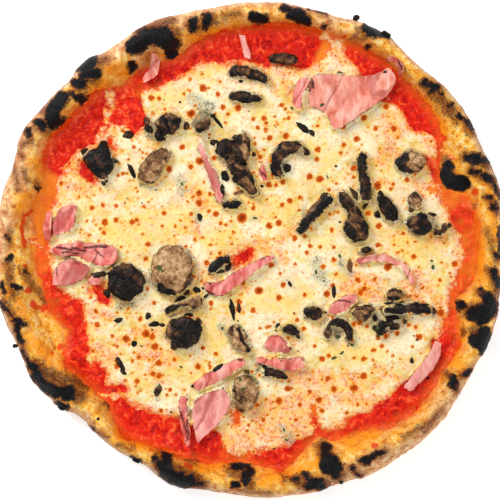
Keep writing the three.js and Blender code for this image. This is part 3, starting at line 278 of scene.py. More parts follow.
# Blistered spots on the cheese: plan place and radius.
CHEESE_SPOTS = [
    (203, 88, 4), (191, 114, 4), (151, 98, 3), (159, 98, 2.5), (223, 107, 2.6), (238, 108, 3.4),
    (218, 94, 2.4), (195, 106, 1.8), (182, 147, 3), (200, 161, 4), (169, 169, 3), (191, 167, 2.6),
    (214, 158, 2.5), (61, 183, 2.2), (92, 208, 2.8), (103, 205, 2.3), (116, 206, 2.2),
    (105, 222, 3.4), (116, 220, 2.6), (132, 222, 2.8), (137, 220, 2.2), (104, 233, 2.3),
    (148, 244, 2.6), (143, 234, 1.7), (199, 193, 3.4), (199, 203, 3.6), (210, 194, 2.2),
    (209, 211, 2.2), (216, 214, 3), (221, 223, 2.2), (242, 218, 5), (164, 213, 2.3), (162, 226, 1.7),
    (185, 228, 1.7), (191, 214, 2.2), (220, 82, 1.8), (139, 94, 1.8), (184, 94, 1.8), (189, 69, 2.4),
    (202, 74, 1.8), (228, 114, 2.1), (87, 221, 1.8), (96, 225, 1.4), (89, 235, 1.8), (195, 240, 2.1),
    (232, 244, 1.5), (134, 147, 1.8), (118, 175, 1.8), (119, 163, 1.7), (264, 118, 2.7),
    (258, 128, 2.1), (270, 138, 3), (253, 119, 2.4), (289, 118, 2.1), (282, 105, 2.5), (285, 109, 1.8),
    (286, 136, 3.4), (318, 126, 2.1), (343, 126, 3.2), (376, 128, 2.6), (357, 139, 3.4),
    (344, 145, 2.6), (341, 153, 2.1), (362, 145, 1.6), (386, 107, 3.2), (394, 129, 3.2),
    (364, 118, 3.2), (318, 150, 3), (317, 159, 2.6), (310, 177, 3.2), (320, 179, 3.8), (269, 185, 3),
    (276, 185, 2.4), (283, 182, 3), (260, 157, 2.4), (290, 201, 3), (282, 205, 2.4), (300, 198, 2.1),
    (279, 223, 3), (269, 226, 3.4), (274, 213, 1.4), (354, 168, 2.8), (354, 177, 2), (378, 186, 4.2),
    (393, 184, 2.1), (391, 189, 2.1), (407, 180, 2.6), (343, 199, 2.6), (368, 213, 2.8),
    (330, 214, 1.7), (338, 212, 1.7), (332, 230, 2.4), (379, 226, 3.2), (295, 238, 2.8),
    (305, 236, 2.4), (320, 247, 2.1), (310, 246, 2.4), (334, 247, 2.1), (378, 245, 2.6),
    (403, 233, 2.4), (329, 190, 2.1), (253, 208, 2.4), (146, 259, 2.6), (154, 303, 2.3),
    (140, 319, 2.7), (96, 311, 2.6), (203, 348, 2.6), (216, 354, 2.4), (198, 367, 3.2),
    (211, 303, 2.6), (170, 390, 2.2), (161, 411, 2.4), (137, 381, 2.8), (126, 339, 4), (146, 334, 4),
    (152, 337, 3.2), (155, 347, 3.8), (159, 363, 3.2), (159, 376, 3.2), (149, 360, 2.1),
    (139, 358, 2.4), (153, 374, 3), (93, 351, 2.5), (85, 357, 2.4), (117, 346, 1.8), (112, 336, 2.1),
    (97, 325, 3), (117, 366, 3), (207, 263, 2.8), (220, 253, 2.2), (243, 283, 2.1), (175, 360, 2.2),
    (239, 309, 3), (239, 302, 3), (259, 291, 4), (253, 310, 3), (279, 298, 3), (283, 285, 3),
    (305, 295, 2.2), (271, 265, 2.8), (280, 274, 2), (295, 264, 1.8), (307, 253, 2.1),
    (323, 267, 2.5), (336, 274, 2.2), (334, 260, 2.8), (333, 286, 2.6), (327, 294, 3.4),
    (388, 267, 3.9), (414, 257, 2.9), (405, 264, 2.1), (358, 280, 3), (375, 279, 2.4), (364, 289, 3.2),
    (361, 293, 3), (455, 264, 3), (440, 280, 2), (441, 313, 3.8), (427, 313, 2.2), (416, 327, 2.1),
    (409, 325, 2.1), (397, 333, 2.5), (419, 337, 3.3), (386, 336, 2.8), (378, 338, 2.1),
    (360, 322, 2.9), (367, 326, 2.1), (354, 324, 2.1), (374, 350, 2.6), (382, 346, 2.4), (364, 359, 3),
    (354, 358, 1.8), (373, 360, 1.4), (297, 320, 2.1), (267, 327, 1.8), (260, 328, 1.7),
    (304, 329, 2.5), (295, 314, 1.3), (315, 346, 2), (322, 359, 3), (329, 356, 2.4), (352, 340, 2.1),
    (412, 361, 2.1), (364, 376, 3.4), (354, 388, 3.8), (319, 400, 3.4), (334, 389, 3.2),
    (328, 379, 3), (322, 411, 2.6), (288, 389, 3.2), (279, 401, 3.6), (257, 405, 2.4),
    (347, 413, 2.1), (310, 392, 2.2), (300, 405, 2.4), (296, 420, 2.2), (263, 420, 2.2),
]

# ---- toppings ------------------------------------------------------------------------------

# How light each mushroom is, from black, 0, to pale tan, 1, and marks on it: strokes in plan
# places, half their width and their own lightness.
MUSHROOM_TONES = {
    "mushroom_left_dark": (0.06, [(104, 176, 106, 182, 3, 0.3), (97, 160, 103, 166, 3, 0.16)]),
    "mushroom_left_slice": (0.62, [(140, 183, 156, 184, 2.2, 0.25), (150, 152, 163, 149, 2, 0.3),
                                   (165, 156, 170, 160, 3, 0.45), (138, 168, 138, 180, 1.5, 0.3)]),
    "mushroom_upper_left": (0.16, [(168, 116, 178, 114, 4, 0.42), (164, 124, 176, 130, 3, 0.3),
                                   (146, 128, 162, 139, 3, 0.05), (157, 118, 160, 124, 2, 0.5)]),
    "mushroom_upper_grey": (0.4, [(193, 131, 206, 132, 3, 0.06), (200, 118, 206, 116, 4, 0.6)]),
    "mushroom_top_band": (0.14, [(240, 70, 248, 72, 3, 0.35), (256, 74, 262, 78, 2.5, 0.3)]),
    "mushroom_top_slab": (0.12, [(240, 95, 256, 97, 2, 0.24)]),
    "mushroom_top_lens": (0.2, [(276, 59, 292, 60, 2.5, 0.36)]),
    "mushroom_curved_slice": (0.1, [(286, 146, 304, 150, 3.4, 0.42), (275, 160, 276, 172, 2, 0.04),
                                    (296, 152, 304, 155, 2, 0.2)]),
    "mushroom_upper_centre": (0.2, [(216, 146, 224, 150, 4, 0.08), (236, 136, 242, 142, 4, 0.05),
                                    (243, 148, 248, 158, 4, 0.6), (244, 134, 247, 140, 2.4, 0.5),
                                    (224, 162, 252, 170, 2, 0.5), (224, 172, 236, 178, 4, 0.05),
                                    (244, 178, 252, 190, 4, 0.42), (232, 166, 244, 174, 2, 0.12)]),
    "mushroom_black_slice": (0.03, []),
    "mushroom_long_slice": (0.08, [(298, 224, 318, 200, 2.6, 0.5), (322, 196, 328, 194, 2, 0.3)]),
    "mushroom_right_column": (0.07, [(360, 184, 370, 190, 3, 0.22)]),
    "mushroom_middle_lumps": (0.14, [(344, 193, 358, 204, 3, 0.42), (350, 220, 356, 228, 3.4, 0.42),
                                     (358, 234, 366, 238, 3, 0.4), (346, 216, 352, 216, 2, 0.3)]),
    "mushroom_small_middle": (0.08, []),
    "mushroom_right_slant": (0.06, [(376, 206, 380, 212, 3, 0.2)]),
    "mushroom_round_right": (0.12, [(416, 156, 422, 160, 7, 0.72), (410, 164, 416, 170, 3, 0.62),
                                    (400, 152, 410, 151, 1.6, 0.4)]),
    "mushroom_right_lens": (0.42, [(410, 200, 418, 202, 2.4, 0.68)]),
    "mushroom_right_lump": (0.18, [(406, 216, 416, 218, 3, 0.4), (420, 226, 430, 230, 2, 0.05)]),
    "mushroom_right_bow": (0.14, [(446, 226, 450, 227, 2, 0.36)]),
    "mushroom_left_large": (0.05, [(138, 278, 143, 286, 5, 0.26), (119, 264, 128, 265, 3, 0.38),
                                   (112, 286, 118, 292, 3, 0.14)]),
    "mushroom_big_cap": (0.66, [(160, 288, 172, 294, 4, 0.14), (186, 286, 193, 272, 2.6, 0.4),
                                (156, 268, 162, 266, 2, 0.5), (168, 262, 180, 272, 6, 0.74)]),
    "mushroom_hook": (0.05, []),
    "mushroom_below_cap": (0.5, [(165, 312, 184, 305, 2.4, 0.1), (192, 296, 198, 298, 2.4, 0.66),
                                 (202, 302, 204, 306, 2, 0.3)]),
    "mushroom_lower_left": (0.06, [(169, 322, 170, 340, 1.8, 0.42), (176, 318, 188, 320, 3, 0.18),
                                   (186, 326, 196, 330, 4, 0.12)]),
    "mushroom_centre_tan": (0.6, [(238, 330, 248, 350, 2, 0.12), (230, 326, 232, 334, 2, 0.3)]),
    "mushroom_lower_middle": (0.14, [(306, 306, 314, 308, 2, 0.3)]),
    "mushroom_arch": (0.22, [(332, 320, 346, 322, 2, 0.1), (330, 336, 340, 340, 3, 0.36)]),
    "mushroom_lower_thin": (0.1, [(278, 328, 288, 328, 2, 0.28)]),
    "mushroom_lower_right": (0.44, [(354, 306, 368, 304, 2, 0.16), (366, 316, 370, 312, 2, 0.24)]),
    "mushroom_right_cap": (0.5, [(386, 298, 404, 299, 2.4, 0.08), (390, 291, 400, 291, 1.4, 0.24)]),
    "mushroom_right_long": (0.07, [(396, 306, 426, 308, 1.6, 0.2)]),
    "mushroom_right_corner": (0.12, [(392, 324, 398, 326, 2, 0.26)]),
    "mushroom_bottom_round": (0.6, [(234, 384, 234, 404, 1.8, 0.3), (238, 410, 250, 412, 2, 0.3),
                                    (246, 376, 254, 380, 2, 0.34)]),
    "mushroom_bottom_tail": (0.06, []),
}

# How pink each ham slice is, from salmon, 0, to bright pink, 1, and how pale.
HAM_TINTS = {
    "ham_top_right": (0.1, 0.35), "ham_top_right_fold": (0.65, 0.45),
    "ham_top_right_curl": (0, 0.15), "ham_upper_left": (0.4, 0.3), "ham_top_wedge": (0.35, 0.45),
    "ham_centre_wedge": (0.6, 0.4), "ham_left_upper": (0.85, 0.3), "ham_left_edge": (0.6, 0.15),
    "ham_left_layered": (0.75, 0.25), "ham_left_flap": (0.85, 0.35), "ham_left_inner": (0.75, 0.35),
    "ham_centre_piece": (0.95, 0.1), "ham_centre_curl": (0.8, 0.3), "ham_right_curl": (0.7, 0.35),
    "ham_right_arc": (0.3, 0.45), "ham_lower_knot": (0.65, 0.35), "ham_lower_strip": (0.55, 0.25),
    "ham_lower_left_curl": (0.6, 0.3), "ham_bottom_flap": (0.9, 0.5),
    "ham_bottom_fold": (0.55, 0.25), "ham_right_strip": (0.6, 0.55),
}

# Dark cracks and torn edges in the ham, as strokes.
HAM_CRACKS = [
    (312, 78, 313, 87, 1.4), (311, 88, 306, 96, 0.9), (305, 97, 301, 108, 1.2), (383, 72, 385, 72, 1.4),
    (345, 73, 350, 74, 0.8), (58, 247, 72, 250, 1.3), (72, 248, 86, 250, 1.2), (86, 247, 106, 246, 1.5),
    (62, 252, 78, 254, 1), (58, 257, 76, 257, 1.1), (76, 258, 92, 265, 1.4), (92, 264, 98, 252, 0.8),
    (96, 249, 104, 258, 0.8), (56, 262, 58, 276, 0.7), (187, 420, 188, 440, 0.9), (181, 412, 186, 432, 0.9),
    (192, 392, 190, 420, 0.8), (206, 292, 214, 294, 1.6), (207, 282, 210, 284, 1.2),
    (261, 172, 267, 177, 1.2),
    (290, 346, 292, 356, 1.3), (256, 352, 274, 354, 0.8), (276, 354, 292, 358, 0.9),
    (238, 360, 242, 361, 0.9),
    (216, 386, 226, 382, 0.8), (300, 352, 303, 360, 0.8), (330, 300, 350, 302, 1), (232, 292, 234, 296, 1.2),
    (398, 62, 401, 70, 1.2), (60, 202, 68, 200, 0.9), (148, 60, 149, 62, 1), (262, 255, 266, 262, 0.9),
    (280, 361, 281, 361, 0.9), (244, 388, 246, 390, 0.8), (258, 168, 262, 176, 0.6),
    (212, 390, 206, 388, 0.8),
]

# Cheese that has run over toppings, as strokes.
CHEESE_OVER = [
    (213, 157, 218, 162, 5), (227, 187, 234, 190, 5), (196, 120, 206, 114, 4), (240, 84, 258, 86, 4),
    (300, 152, 292, 168, 5), (156, 132, 150, 140, 3), (184, 168, 176, 172, 4), (336, 336, 344, 338, 4),
    (374, 322, 380, 314, 4), (192, 316, 198, 318, 3), (262, 372, 256, 384, 4), (334, 326, 340, 340, 3),
    (76, 232, 82, 210, 4), (324, 118, 300, 110, 4), (400, 270, 384, 274, 4), (372, 218, 378, 224, 2),
    (250, 342, 262, 344, 4), (434, 206, 430, 224, 4), (352, 212, 358, 216, 2), (446, 218, 440, 226, 3),
    (150, 292, 156, 284, 3), (404, 316, 410, 320, 3), (300, 366, 310, 362, 3), (284, 346, 296, 342, 2),
]

# Small torn bits: plan place, half length, half width, turn and tone.
MUSHROOM_SCRAPS = [
    (128, 135, 5.5, 4, 25, 0.14), (217, 121, 8, 1.8, -52, 0.02), (303, 128, 8, 3.2, -40, 0.14),
    (312, 133, 4, 2.2, -50, 0.06), (287, 168, 4.4, 4, 10, 0.05), (232, 309, 10, 2.6, -80, 0.04),
    (239, 308, 5, 1.8, -85, 0.25), (154, 324, 5, 2.8, 5, 0.06), (162, 325, 3.4, 2, -10, 0.3),
    (158, 391, 6.5, 3.2, 70, 0.24), (148, 316, 3.4, 3, 60, 0.08), (134, 344, 3.2, 3, 0, 0.02),
    (120, 364, 8, 2.8, -60, 0.2), (123, 372, 4, 2.2, -50, 0.12), (200, 217, 4, 3, -70, 0.06),
    (132, 171, 8.5, 2.3, -66, 0.1), (119, 320, 4.6, 2.4, 20, 0.08), (98, 275, 7.5, 3.8, 12, 0.22),
    (114, 273, 7, 1.6, 5, 0.05), (122, 276, 5, 2.4, -40, 0.04), (108, 293, 5, 4, 0, 0.03),
    (218, 368, 6, 2.6, 35, 0.1), (265, 367, 6, 2.2, -50, 0.08), (430, 215, 5.5, 2.4, 0, 0.03),
    (412, 361, 2, 2.8, 0, 0.12), (290, 284, 3.4, 1.6, -60, 0.1), (350, 266, 2.6, 7, 0, 0.45),
    (356, 196, 9, 2.6, -55, 0.2), (366, 204, 6, 2, 60, 0.08), (352, 214, 5, 1.6, -40, 0.4),
    (378, 214, 4, 4, 0, 0.06), (381, 198, 3.6, 6, 10, 0.04), (391, 216, 5, 3, -60, 0.03),
    (417, 232, 5, 2.4, -20, 0.1), (438, 233, 5, 3.4, 0, 0.12), (444, 228, 3, 5, -20, 0.3),
    (424, 222, 7, 2.6, -25, 0.16), (412, 208, 5, 3, 60, 0.4), (334, 292, 2.2, 7, 0, 0.08),
    (324, 312, 3.4, 1.2, -10, 0.04), (360, 308, 5, 2.4, -10, 0.3), (382, 308, 4, 2, 30, 0.5),
    (375, 318, 2.4, 4, 10, 0.2), (376, 328, 4, 3, -30, 0.1), (384, 332, 4, 2, 30, 0.2),
    (404, 322, 3.4, 2.2, 20, 0.3), (434, 311, 2.6, 3.2, 0, 0.24), (289, 328, 5, 2.2, 10, 0.12),
    (297, 335, 4.6, 2, -50, 0.05), (278, 326, 3, 2.2, 60, 0.06), (180, 300, 6, 3, 35, 0.06),
    (197, 290, 4, 3, -30, 0.05), (206, 296, 4, 1.4, 40, 0.3), (170, 307, 5, 1.5, 30, 0.04),
    (198, 322, 4, 4, 0, 0.12), (188, 316, 5, 3, 20, 0.04), (175, 344, 4.4, 6, 0, 0.03),
    (168, 330, 1.6, 9, -15, 0.5), (150, 128, 5, 2, -40, 0.08), (160, 136, 7, 3, -45, 0.04),
    (147, 122, 3, 5, 10, 0.3), (186, 126, 3.4, 4, 0, 0.34), (166, 123, 2, 8, 25, 0.05),
    (212, 116, 3.4, 1.6, 20, 0.05), (236, 140, 4, 5, 0, 0.03), (228, 150, 6, 3, -50, 0.05),
    (244, 138, 2, 6, -14, 0.55), (216, 143, 6, 3.4, -10, 0.06), (253, 154, 2.4, 3, 30, 0.06),
    (250, 186, 3, 7, 20, 0.5), (240, 192, 8, 1.8, 15, 0.45), (226, 176, 5, 5, 0, 0.02),
    (222, 190, 3, 6, 5, 0.03), (288, 144, 6, 2.6, -10, 0.3), (274, 162, 1.8, 8, 5, 0.05),
    (279, 174, 4, 2, -60, 0.3), (306, 150, 4, 1.8, -40, 0.12), (324, 196, 4.6, 3, 40, 0.16),
    (304, 222, 3, 5, -35, 0.1), (314, 206, 7, 1.8, 45, 0.5), (85, 152, 4, 4, 0, 0.03),
    (104, 144, 4, 4, 30, 0.03), (114, 161, 4.4, 3, -20, 0.05), (104, 181, 3.4, 4, 0, 0.1),
    (92, 162, 4, 5, 30, 0.03), (128, 282, 4, 5, 0, 0.03), (139, 290, 5, 4, 20, 0.07),
    (142, 282, 3.4, 5, 0, 0.24), (120, 294, 5, 3.4, 0, 0.02), (130, 298, 4, 3, 40, 0.02),
    (123, 266, 3.2, 4.6, 0, 0.38), (166, 291, 5, 3.4, 0, 0.05), (186, 292, 4, 3, 20, 0.16),
    (218, 272, 7, 1.8, 8, 0.02), (228, 266, 3, 5, -15, 0.03), (246, 374, 3, 5, -20, 0.3),
    (240, 404, 6, 1.6, -30, 0.6), (282, 377, 7, 1.8, -4, 0.03), (395, 303, 10, 1.8, 4, 0.03),
    (392, 318, 7, 5, 30, 0.06), (420, 305, 9, 1.6, 5, 0.04), (392, 294, 6, 2, 20, 0.5),
]
HERB_FLAKES = [
    (160, 268, 3.2, 2, -40, 0), (163, 271, 1.6, 1.2, 20, 0), (293, 108, 2.6, 1.3, 0, 0),
    (322, 105, 2.6, 1.5, 30, 0), (340, 73, 3.4, 1.6, 0, 0), (240, 379, 1.6, 3, 0, 0),
    (243, 389, 3, 1.3, 35, 0), (216, 369, 1.8, 2.4, 20, 0), (334, 358, 3, 1.4, 25, 0),
    (342, 353, 2.4, 1.4, 40, 0), (338, 337, 2, 2.2, 0, 0), (377, 328, 2.6, 1.8, 20, 0),
    (433, 267, 1.8, 2.6, 0, 0), (432, 261, 1.2, 1.6, 30, 0), (352, 345, 2, 1.4, -30, 0),
    (340, 256, 1.4, 2.2, 20, 0), (324, 281, 1.6, 0.9, 0, 0), (316, 272, 1.2, 2.4, 10, 0),
    (255, 218, 2.4, 1.2, -10, 0), (182, 184, 1.2, 2.2, 20, 0), (412, 359, 1.2, 2, 20, 0),
    (235, 150, 1.8, 1.2, 20, 0), (156, 190, 1.2, 0.8, 0, 0), (222, 328, 1.4, 1.2, 0, 0),
    (286, 440, 2, 1.2, -30, 0), (284, 430, 1, 2, 10, 0), (160, 386, 1, 2.4, 20, 0),
]
PEPPER_SPECKS = [
    (180, 102, 1.3, 1.2, 0, 0), (336, 166, 1.4, 1.2, 0, 0), (327, 176, 1.3, 0.7, -30, 0),
    (262, 186, 1.7, 1.7, 0, 0), (171, 412, 1.4, 1, 10, 0), (193, 386, 2.2, 1.5, 20, 0),
    (260, 363, 2, 1.8, 0, 0), (141, 346, 1.6, 0.7, -20, 0), (181, 367, 1.7, 0.8, -20, 0),
    (238, 321, 1.5, 0.8, 0, 0), (432, 347, 0.8, 0.8, 0, 0), (99, 418, 1.6, 1.6, 0, 0),
    (241, 81, 2.1, 1.8, 20, 0), (223, 388, 1.2, 1, 0, 0), (235, 391, 1.8, 1, 0, 0), (241, 399, 1, 0.7, 0, 0),
    (220, 231, 0.9, 0.7, 0, 0), (127, 198, 0.7, 0.7, 0, 0), (142, 203, 1, 0.7, 0, 0),
    (125, 203, 1, 0.8, 0, 0),
    (108, 190, 0.6, 0.6, 0, 0), (91, 187, 0.8, 0.7, 0, 0), (294, 313, 0.9, 0.9, 0, 0),
    (121, 308, 0.9, 0.7, 0, 0),
    (209, 138, 1, 0.9, 0, 0), (164, 100, 0.7, 0.6, 0, 0), (249, 111, 0.9, 0.7, 0, 0),
    (276, 127, 0.6, 0.6, 0, 0),
    (202, 348, 1.2, 0.8, 0, 0), (180, 408, 0.9, 0.8, 0, 0), (274, 449, 1.3, 0.8, 0, 0),
    (348, 346, 1, 0.8, 0, 0),
    (385, 72, 1.3, 1.2, 0, 0), (428, 378, 1.8, 1.6, 0, 0), (417, 340, 1.4, 1, 20, 0),
    (414, 336, 1, 0.8, 0, 0),
    (252, 347, 0.8, 0.8, 0, 0), (298, 351, 1, 0.8, 0, 0), (203, 288, 1.4, 1.6, 0, 0),
    (280, 147, 1, 0.8, 0, 0),
    (366, 228, 3, 1.6, 30, 0), (340, 222, 1.8, 1.2, 0, 0), (328, 178, 1, 0.6, 40, 0), (152, 330, 1, 1, 0, 0),
]
CRUST_NUBS = [
    (356, 18, 4, 3, 20, 0), (386, 34, 5, 2.2, -25, 0), (15, 346, 2.6, 2.2, 0, 0), (397, 462, 4.4, 2, 20, 0),
    (341, 482, 2, 2, 0, 0), (472, 116, 1.6, 3, 20, 0), (62, 407, 4, 3, -30, 0), (136, 460, 4, 2, -35, 0),
]

# ---- places and fields ---------------------------------------------------------------------


def to_plan(x, y):
    return POLE[0] + (x - POLE_AT[0]) / UNIT, POLE[1] - (y - POLE_AT[1]) / UNIT


def from_plan(across, down):
    return POLE_AT[0] + (across - POLE[0]) * UNIT, POLE_AT[1] + (POLE[1] - down) * UNIT


def to_clock(across, down):
    right, up = across - POLE[0], POLE[1] - down
    return np.degrees(np.arctan2(right, up)) % 360, np.hypot(right, up)


def by_the_clock(clock, pairs):
    hours, values = zip(*pairs)
    return np.interp(clock, hours, values, period=360)


def soft_step(value, low, high):
    share = np.clip((value - low) / (high - low), 0, 1)
    return share * share * (3 - 2 * share)


def inside_strokes(across, down, strokes, reach=9.0):
    """How far a place lies inside the nearest stroke, in plan units, and below 0 outside it."""
    field = np.full(across.shape, -reach)
    for from_across, from_down, to_across, to_down, half_width in strokes:
        along = np.array((to_across - from_across, to_down - from_down), float)
        length = max(along @ along, 1e-9)
        gone = ((across - from_across) * along[0] + (down - from_down) * along[1]) / length
        gone = np.clip(gone, 0, 1)
        distance = np.hypot(across - from_across - gone * along[0],
                            down - from_down - gone * along[1])
        field = np.maximum(field, half_width - distance)
    return field


def dots(places):
    return [(across, down, across, down, radius) for across, down, radius in places]


def _draw(i, j, seed):
    mixed = (i * 374761393 + j * 668265263 + seed * 974634777) & 0xFFFFFFFF
    mixed = ((mixed ^ (mixed >> 13)) * 1274126177) & 0xFFFFFFFF
    return ((mixed ^ (mixed >> 16)) & 0xFFFF) / 32767.5 - 1


def lumps(across, down, size, seed):
    """Soft lumps of one size in plan units, between -1 and 1."""
    turn = 0.7 * seed + 0.4
    u = (across * math.cos(turn) - down * math.sin(turn)) / size
    v = (across * math.sin(turn) + down * math.cos(turn)) / size
    i, j = np.floor(u).astype(np.int64), np.floor(v).astype(np.int64)
    s, t = u - i, v - j
    s, t = (w * w * w * (w * (w * 6 - 15) + 10) for w in (s, t))
    low = _draw(i, j, seed) * (1 - s) + _draw(i + 1, j, seed) * s
    high = _draw(i, j + 1, seed) * (1 - s) + _draw(i + 1, j + 1, seed) * s
    return low * (1 - t) + high * t


def crumbly(across, down, size, seed, layers=3):
    """Lumps on lumps, each half the size of the last."""
    total = sum(0.55 ** step * lumps(across, down, size / 2 ** step, seed + 11 * step)
                for step in range(layers))
    return total / sum(0.55 ** step for step in range(layers))


def wandering(across, down, reach, size, seed):
    """The same places, each shifted a little its own way, so that what is drawn there wanders."""
    return (across + reach * crumbly(across, down, size, seed),
            down + reach * crumbly(across, down, size, seed + 5))


# ---- meshes --------------------------------------------------------------------------------


def make_active(piece):
    bpy.ops.object.select_all(action="DESELECT")
    piece.select_set(True)
    bpy.context.view_layer.objects.active = piece


def corners_of(piece):
    flat = np.empty(len(piece.data.vertices) * 3)
    piece.data.vertices.foreach_get("co", flat)
    return flat.reshape(-1, 3)


def normals_of(piece):
    flat = np.empty(len(piece.data.vertices) * 3)
    piece.data.vertex_normals.foreach_get("vector", flat)
    return flat.reshape(-1, 3)


def place_corners(piece, corners):
    piece.data.vertices.foreach_set("co", corners.ravel())
    piece.data.update()


def select_corners(piece, wanted):
    """Selects some corners of a mesh, and nothing else, for what is done in edit mode."""
    make_active(piece)
    bpy.ops.object.mode_set(mode="EDIT")
    bpy.ops.mesh.select_mode(type="VERT")
    bpy.ops.mesh.select_all(action="DESELECT")
    bpy.ops.object.mode_set(mode="OBJECT")
    piece.data.vertices.foreach_set("select", wanted)


def paint(piece, name, values):
    layer = piece.data.attributes.new(name, "FLOAT", "POINT")
    layer.data.foreach_set("value", np.broadcast_to(values, len(piece.data.vertices)).astype(float))


def apply_modifier(piece, kind, **settings):
    make_active(piece)
    modifier = piece.modifiers.new(kind.lower(), kind)
    for name, value in settings.items():
        setattr(modifier, name, value)
    bpy.ops.object.modifier_apply(modifier=modifier.name)


def subdivide_smoothly(piece, levels):
    apply_modifier(piece, "SUBSURF", levels=levels, render_levels=levels)


def copy_of_solid(node, name):
    """A copy of a solid of the frame, with its loose triangles joined."""
    make_active(solids[node])
    bpy.ops.object.duplicate()
    piece = bpy.context.object
    piece.name = piece.data.name = name
    piece.data.materials.clear()
    bpy.ops.mesh.customdata_custom_splitnormals_clear()
    bpy.ops.object.mode_set(mode="EDIT")
    bpy.ops.mesh.select_all(action="SELECT")
    bpy.ops.mesh.remove_doubles(threshold=0.001 * MM)
    bpy.ops.object.mode_set(mode="OBJECT")
    return piece


def finish_piece(piece, material, slot, *nodes):
    make_active(piece)
    bpy.ops.object.shade_smooth()
    piece.data.materials.clear()
    piece.data.materials.append(material)
    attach(piece, "root")
    if nodes:
        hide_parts(*nodes)


BOX_MARGIN = 0.05 * MM  # kept free inside the box of the solids


def inside_solid_box(corners):
    low, high = (np.array(side) for side in solid_box)
    return np.clip(corners, low + BOX_MARGIN, high - BOX_MARGIN)


def looking_down_on(pieces):
    """A function that gives the height of the highest of the pieces at each place, or nan."""
    corners, faces = [], []
    for piece in pieces:
        first = len(corners)
        corners.extend(corners_of(piece).tolist())
        faces.extend([first + corner for corner in face.vertices] for face in piece.data.polygons)
    tree = BVHTree.FromPolygons(corners, faces)
    down = Vector((0, 0, -1))

    def heights(x, y):
        found = np.full(x.shape, np.nan)
        for index, (px, py) in enumerate(zip(x.ravel(), y.ravel())):
            hit = tree.ray_cast(Vector((px, py, 0.1)), down)[0]
            if hit is not None:
                found.flat[index] = hit.z
        return found

    return heights


def blurred(values, width):
    """A square grid of values, softened over a width given in its steps."""
    reach = int(3 * width) + 1
    kernel = np.exp(-0.5 * (np.arange(-reach, reach + 1) / width) ** 2)
    kernel /= kernel.sum()
    for axis in (0, 1):
        values = np.apply_along_axis(lambda row: np.convolve(row, kernel, "same"), axis, values)
    return values


# ---- material wiring -----------------------------------------------------------------------


def colour(red, green, blue):
    """A colour as the eye names it, from 0 to 255, for a shader."""
    def straight(level):
        level /= 255
        return level / 12.92 if level <= 0.04045 else ((level + 0.055) / 1.055) ** 2.4
    return (straight(red), straight(green), straight(blue), 1)


class Finish:
    """One food's surface, and short words for wiring it."""

    def __init__(self, name):
        self.material = bpy.data.materials.new(name)
        self.material.use_nodes = True
        self.tree = self.material.node_tree
        self.skin = self.tree.nodes["Principled BSDF"]
        self.place = self.tree.nodes.new("ShaderNodeTexCoord").outputs["Object"]

    def node(self, kind, inputs, **settings):
        node = self.tree.nodes.new(kind)
        for name, value in settings.items():
            setattr(node, name, value)
        for key, value in inputs.items():
            self.feed(node.inputs[key], value)
        return node

    def feed(self, socket, value):
        if isinstance(value, bpy.types.NodeSocket):
            self.tree.links.new(value, socket)
        else:
            socket.default_value = value

    def painted(self, name):
        return self.node("ShaderNodeAttribute", {}, attribute_name=name).outputs["Fac"]

    def grain(self, size, detail=3, roughness=0.55, distortion=0.0, shift=0.0):
        """Noise whose lumps are size millimetres across, from 0 to 1."""
        moved = self.node("ShaderNodeMapping", {"Vector": self.place, "Location": (shift, shift, 0)})
        return self.node("ShaderNodeTexNoise", {
            "Vector": moved.outputs["Vector"], "Scale": 1 / (size * MM), "Detail": detail,
            "Roughness": roughness, "Distortion": distortion}).outputs["Fac"]

    def maths(self, operation, first, second=0.0):
        return self.node("ShaderNodeMath", {0: first, 1: second}, operation=operation).outputs[0]

    def add(self, *terms):
        total = terms[0]
        for term in terms[1:]:
            total = self.maths("ADD", total, term)
        return total

    def times(self, first, second):
        return self.maths("MULTIPLY", first, second)

    def between(self, value, low, high):
        """0 up to low, 1 from high on, and soft in between."""
        return self.node("ShaderNodeMapRange", {"Value": value, "From Min": low, "From Max": high},
                         interpolation_type="SMOOTHSTEP").outputs["Result"]

    def shades(self, value, stops):
        """Colours at places along a value from 0 to 1."""
        node = self.node("ShaderNodeValToRGB", {"Fac": value})
        ramp = node.color_ramp
        while len(ramp.elements) < len(stops):
            ramp.elements.new(0.5)
        for element, (position, shade) in zip(ramp.elements, stops):
            element.position = position
            element.color = shade
        return node.outputs["Color"]

    def over(self, share, below, above, how="MIX"):
        node = self.node("ShaderNodeMix", {}, data_type="RGBA", blend_type=how)
        self.feed(node.inputs[0], share)
        self.feed(node.inputs[6], below)
        self.feed(node.inputs[7], above)
        return node.outputs[2]

    def relief(self, *layers):
        """Bumps: (height, depth in millimetres) pairs, one on another."""
        normal = None
        for height, depth in layers:
            inputs = {"Height": height, "Distance": depth * MM, "Strength": 1.0}
            if normal is not None:
                inputs["Normal"] = normal
            normal = self.node("ShaderNodeBump", inputs).outputs["Normal"]
        self.feed(self.skin.inputs["Normal"], normal)

    def surface(self, **sockets):
        for name, value in sockets.items():
            self.feed(self.skin.inputs[name.replace("_", " ")], value)
        return self.material


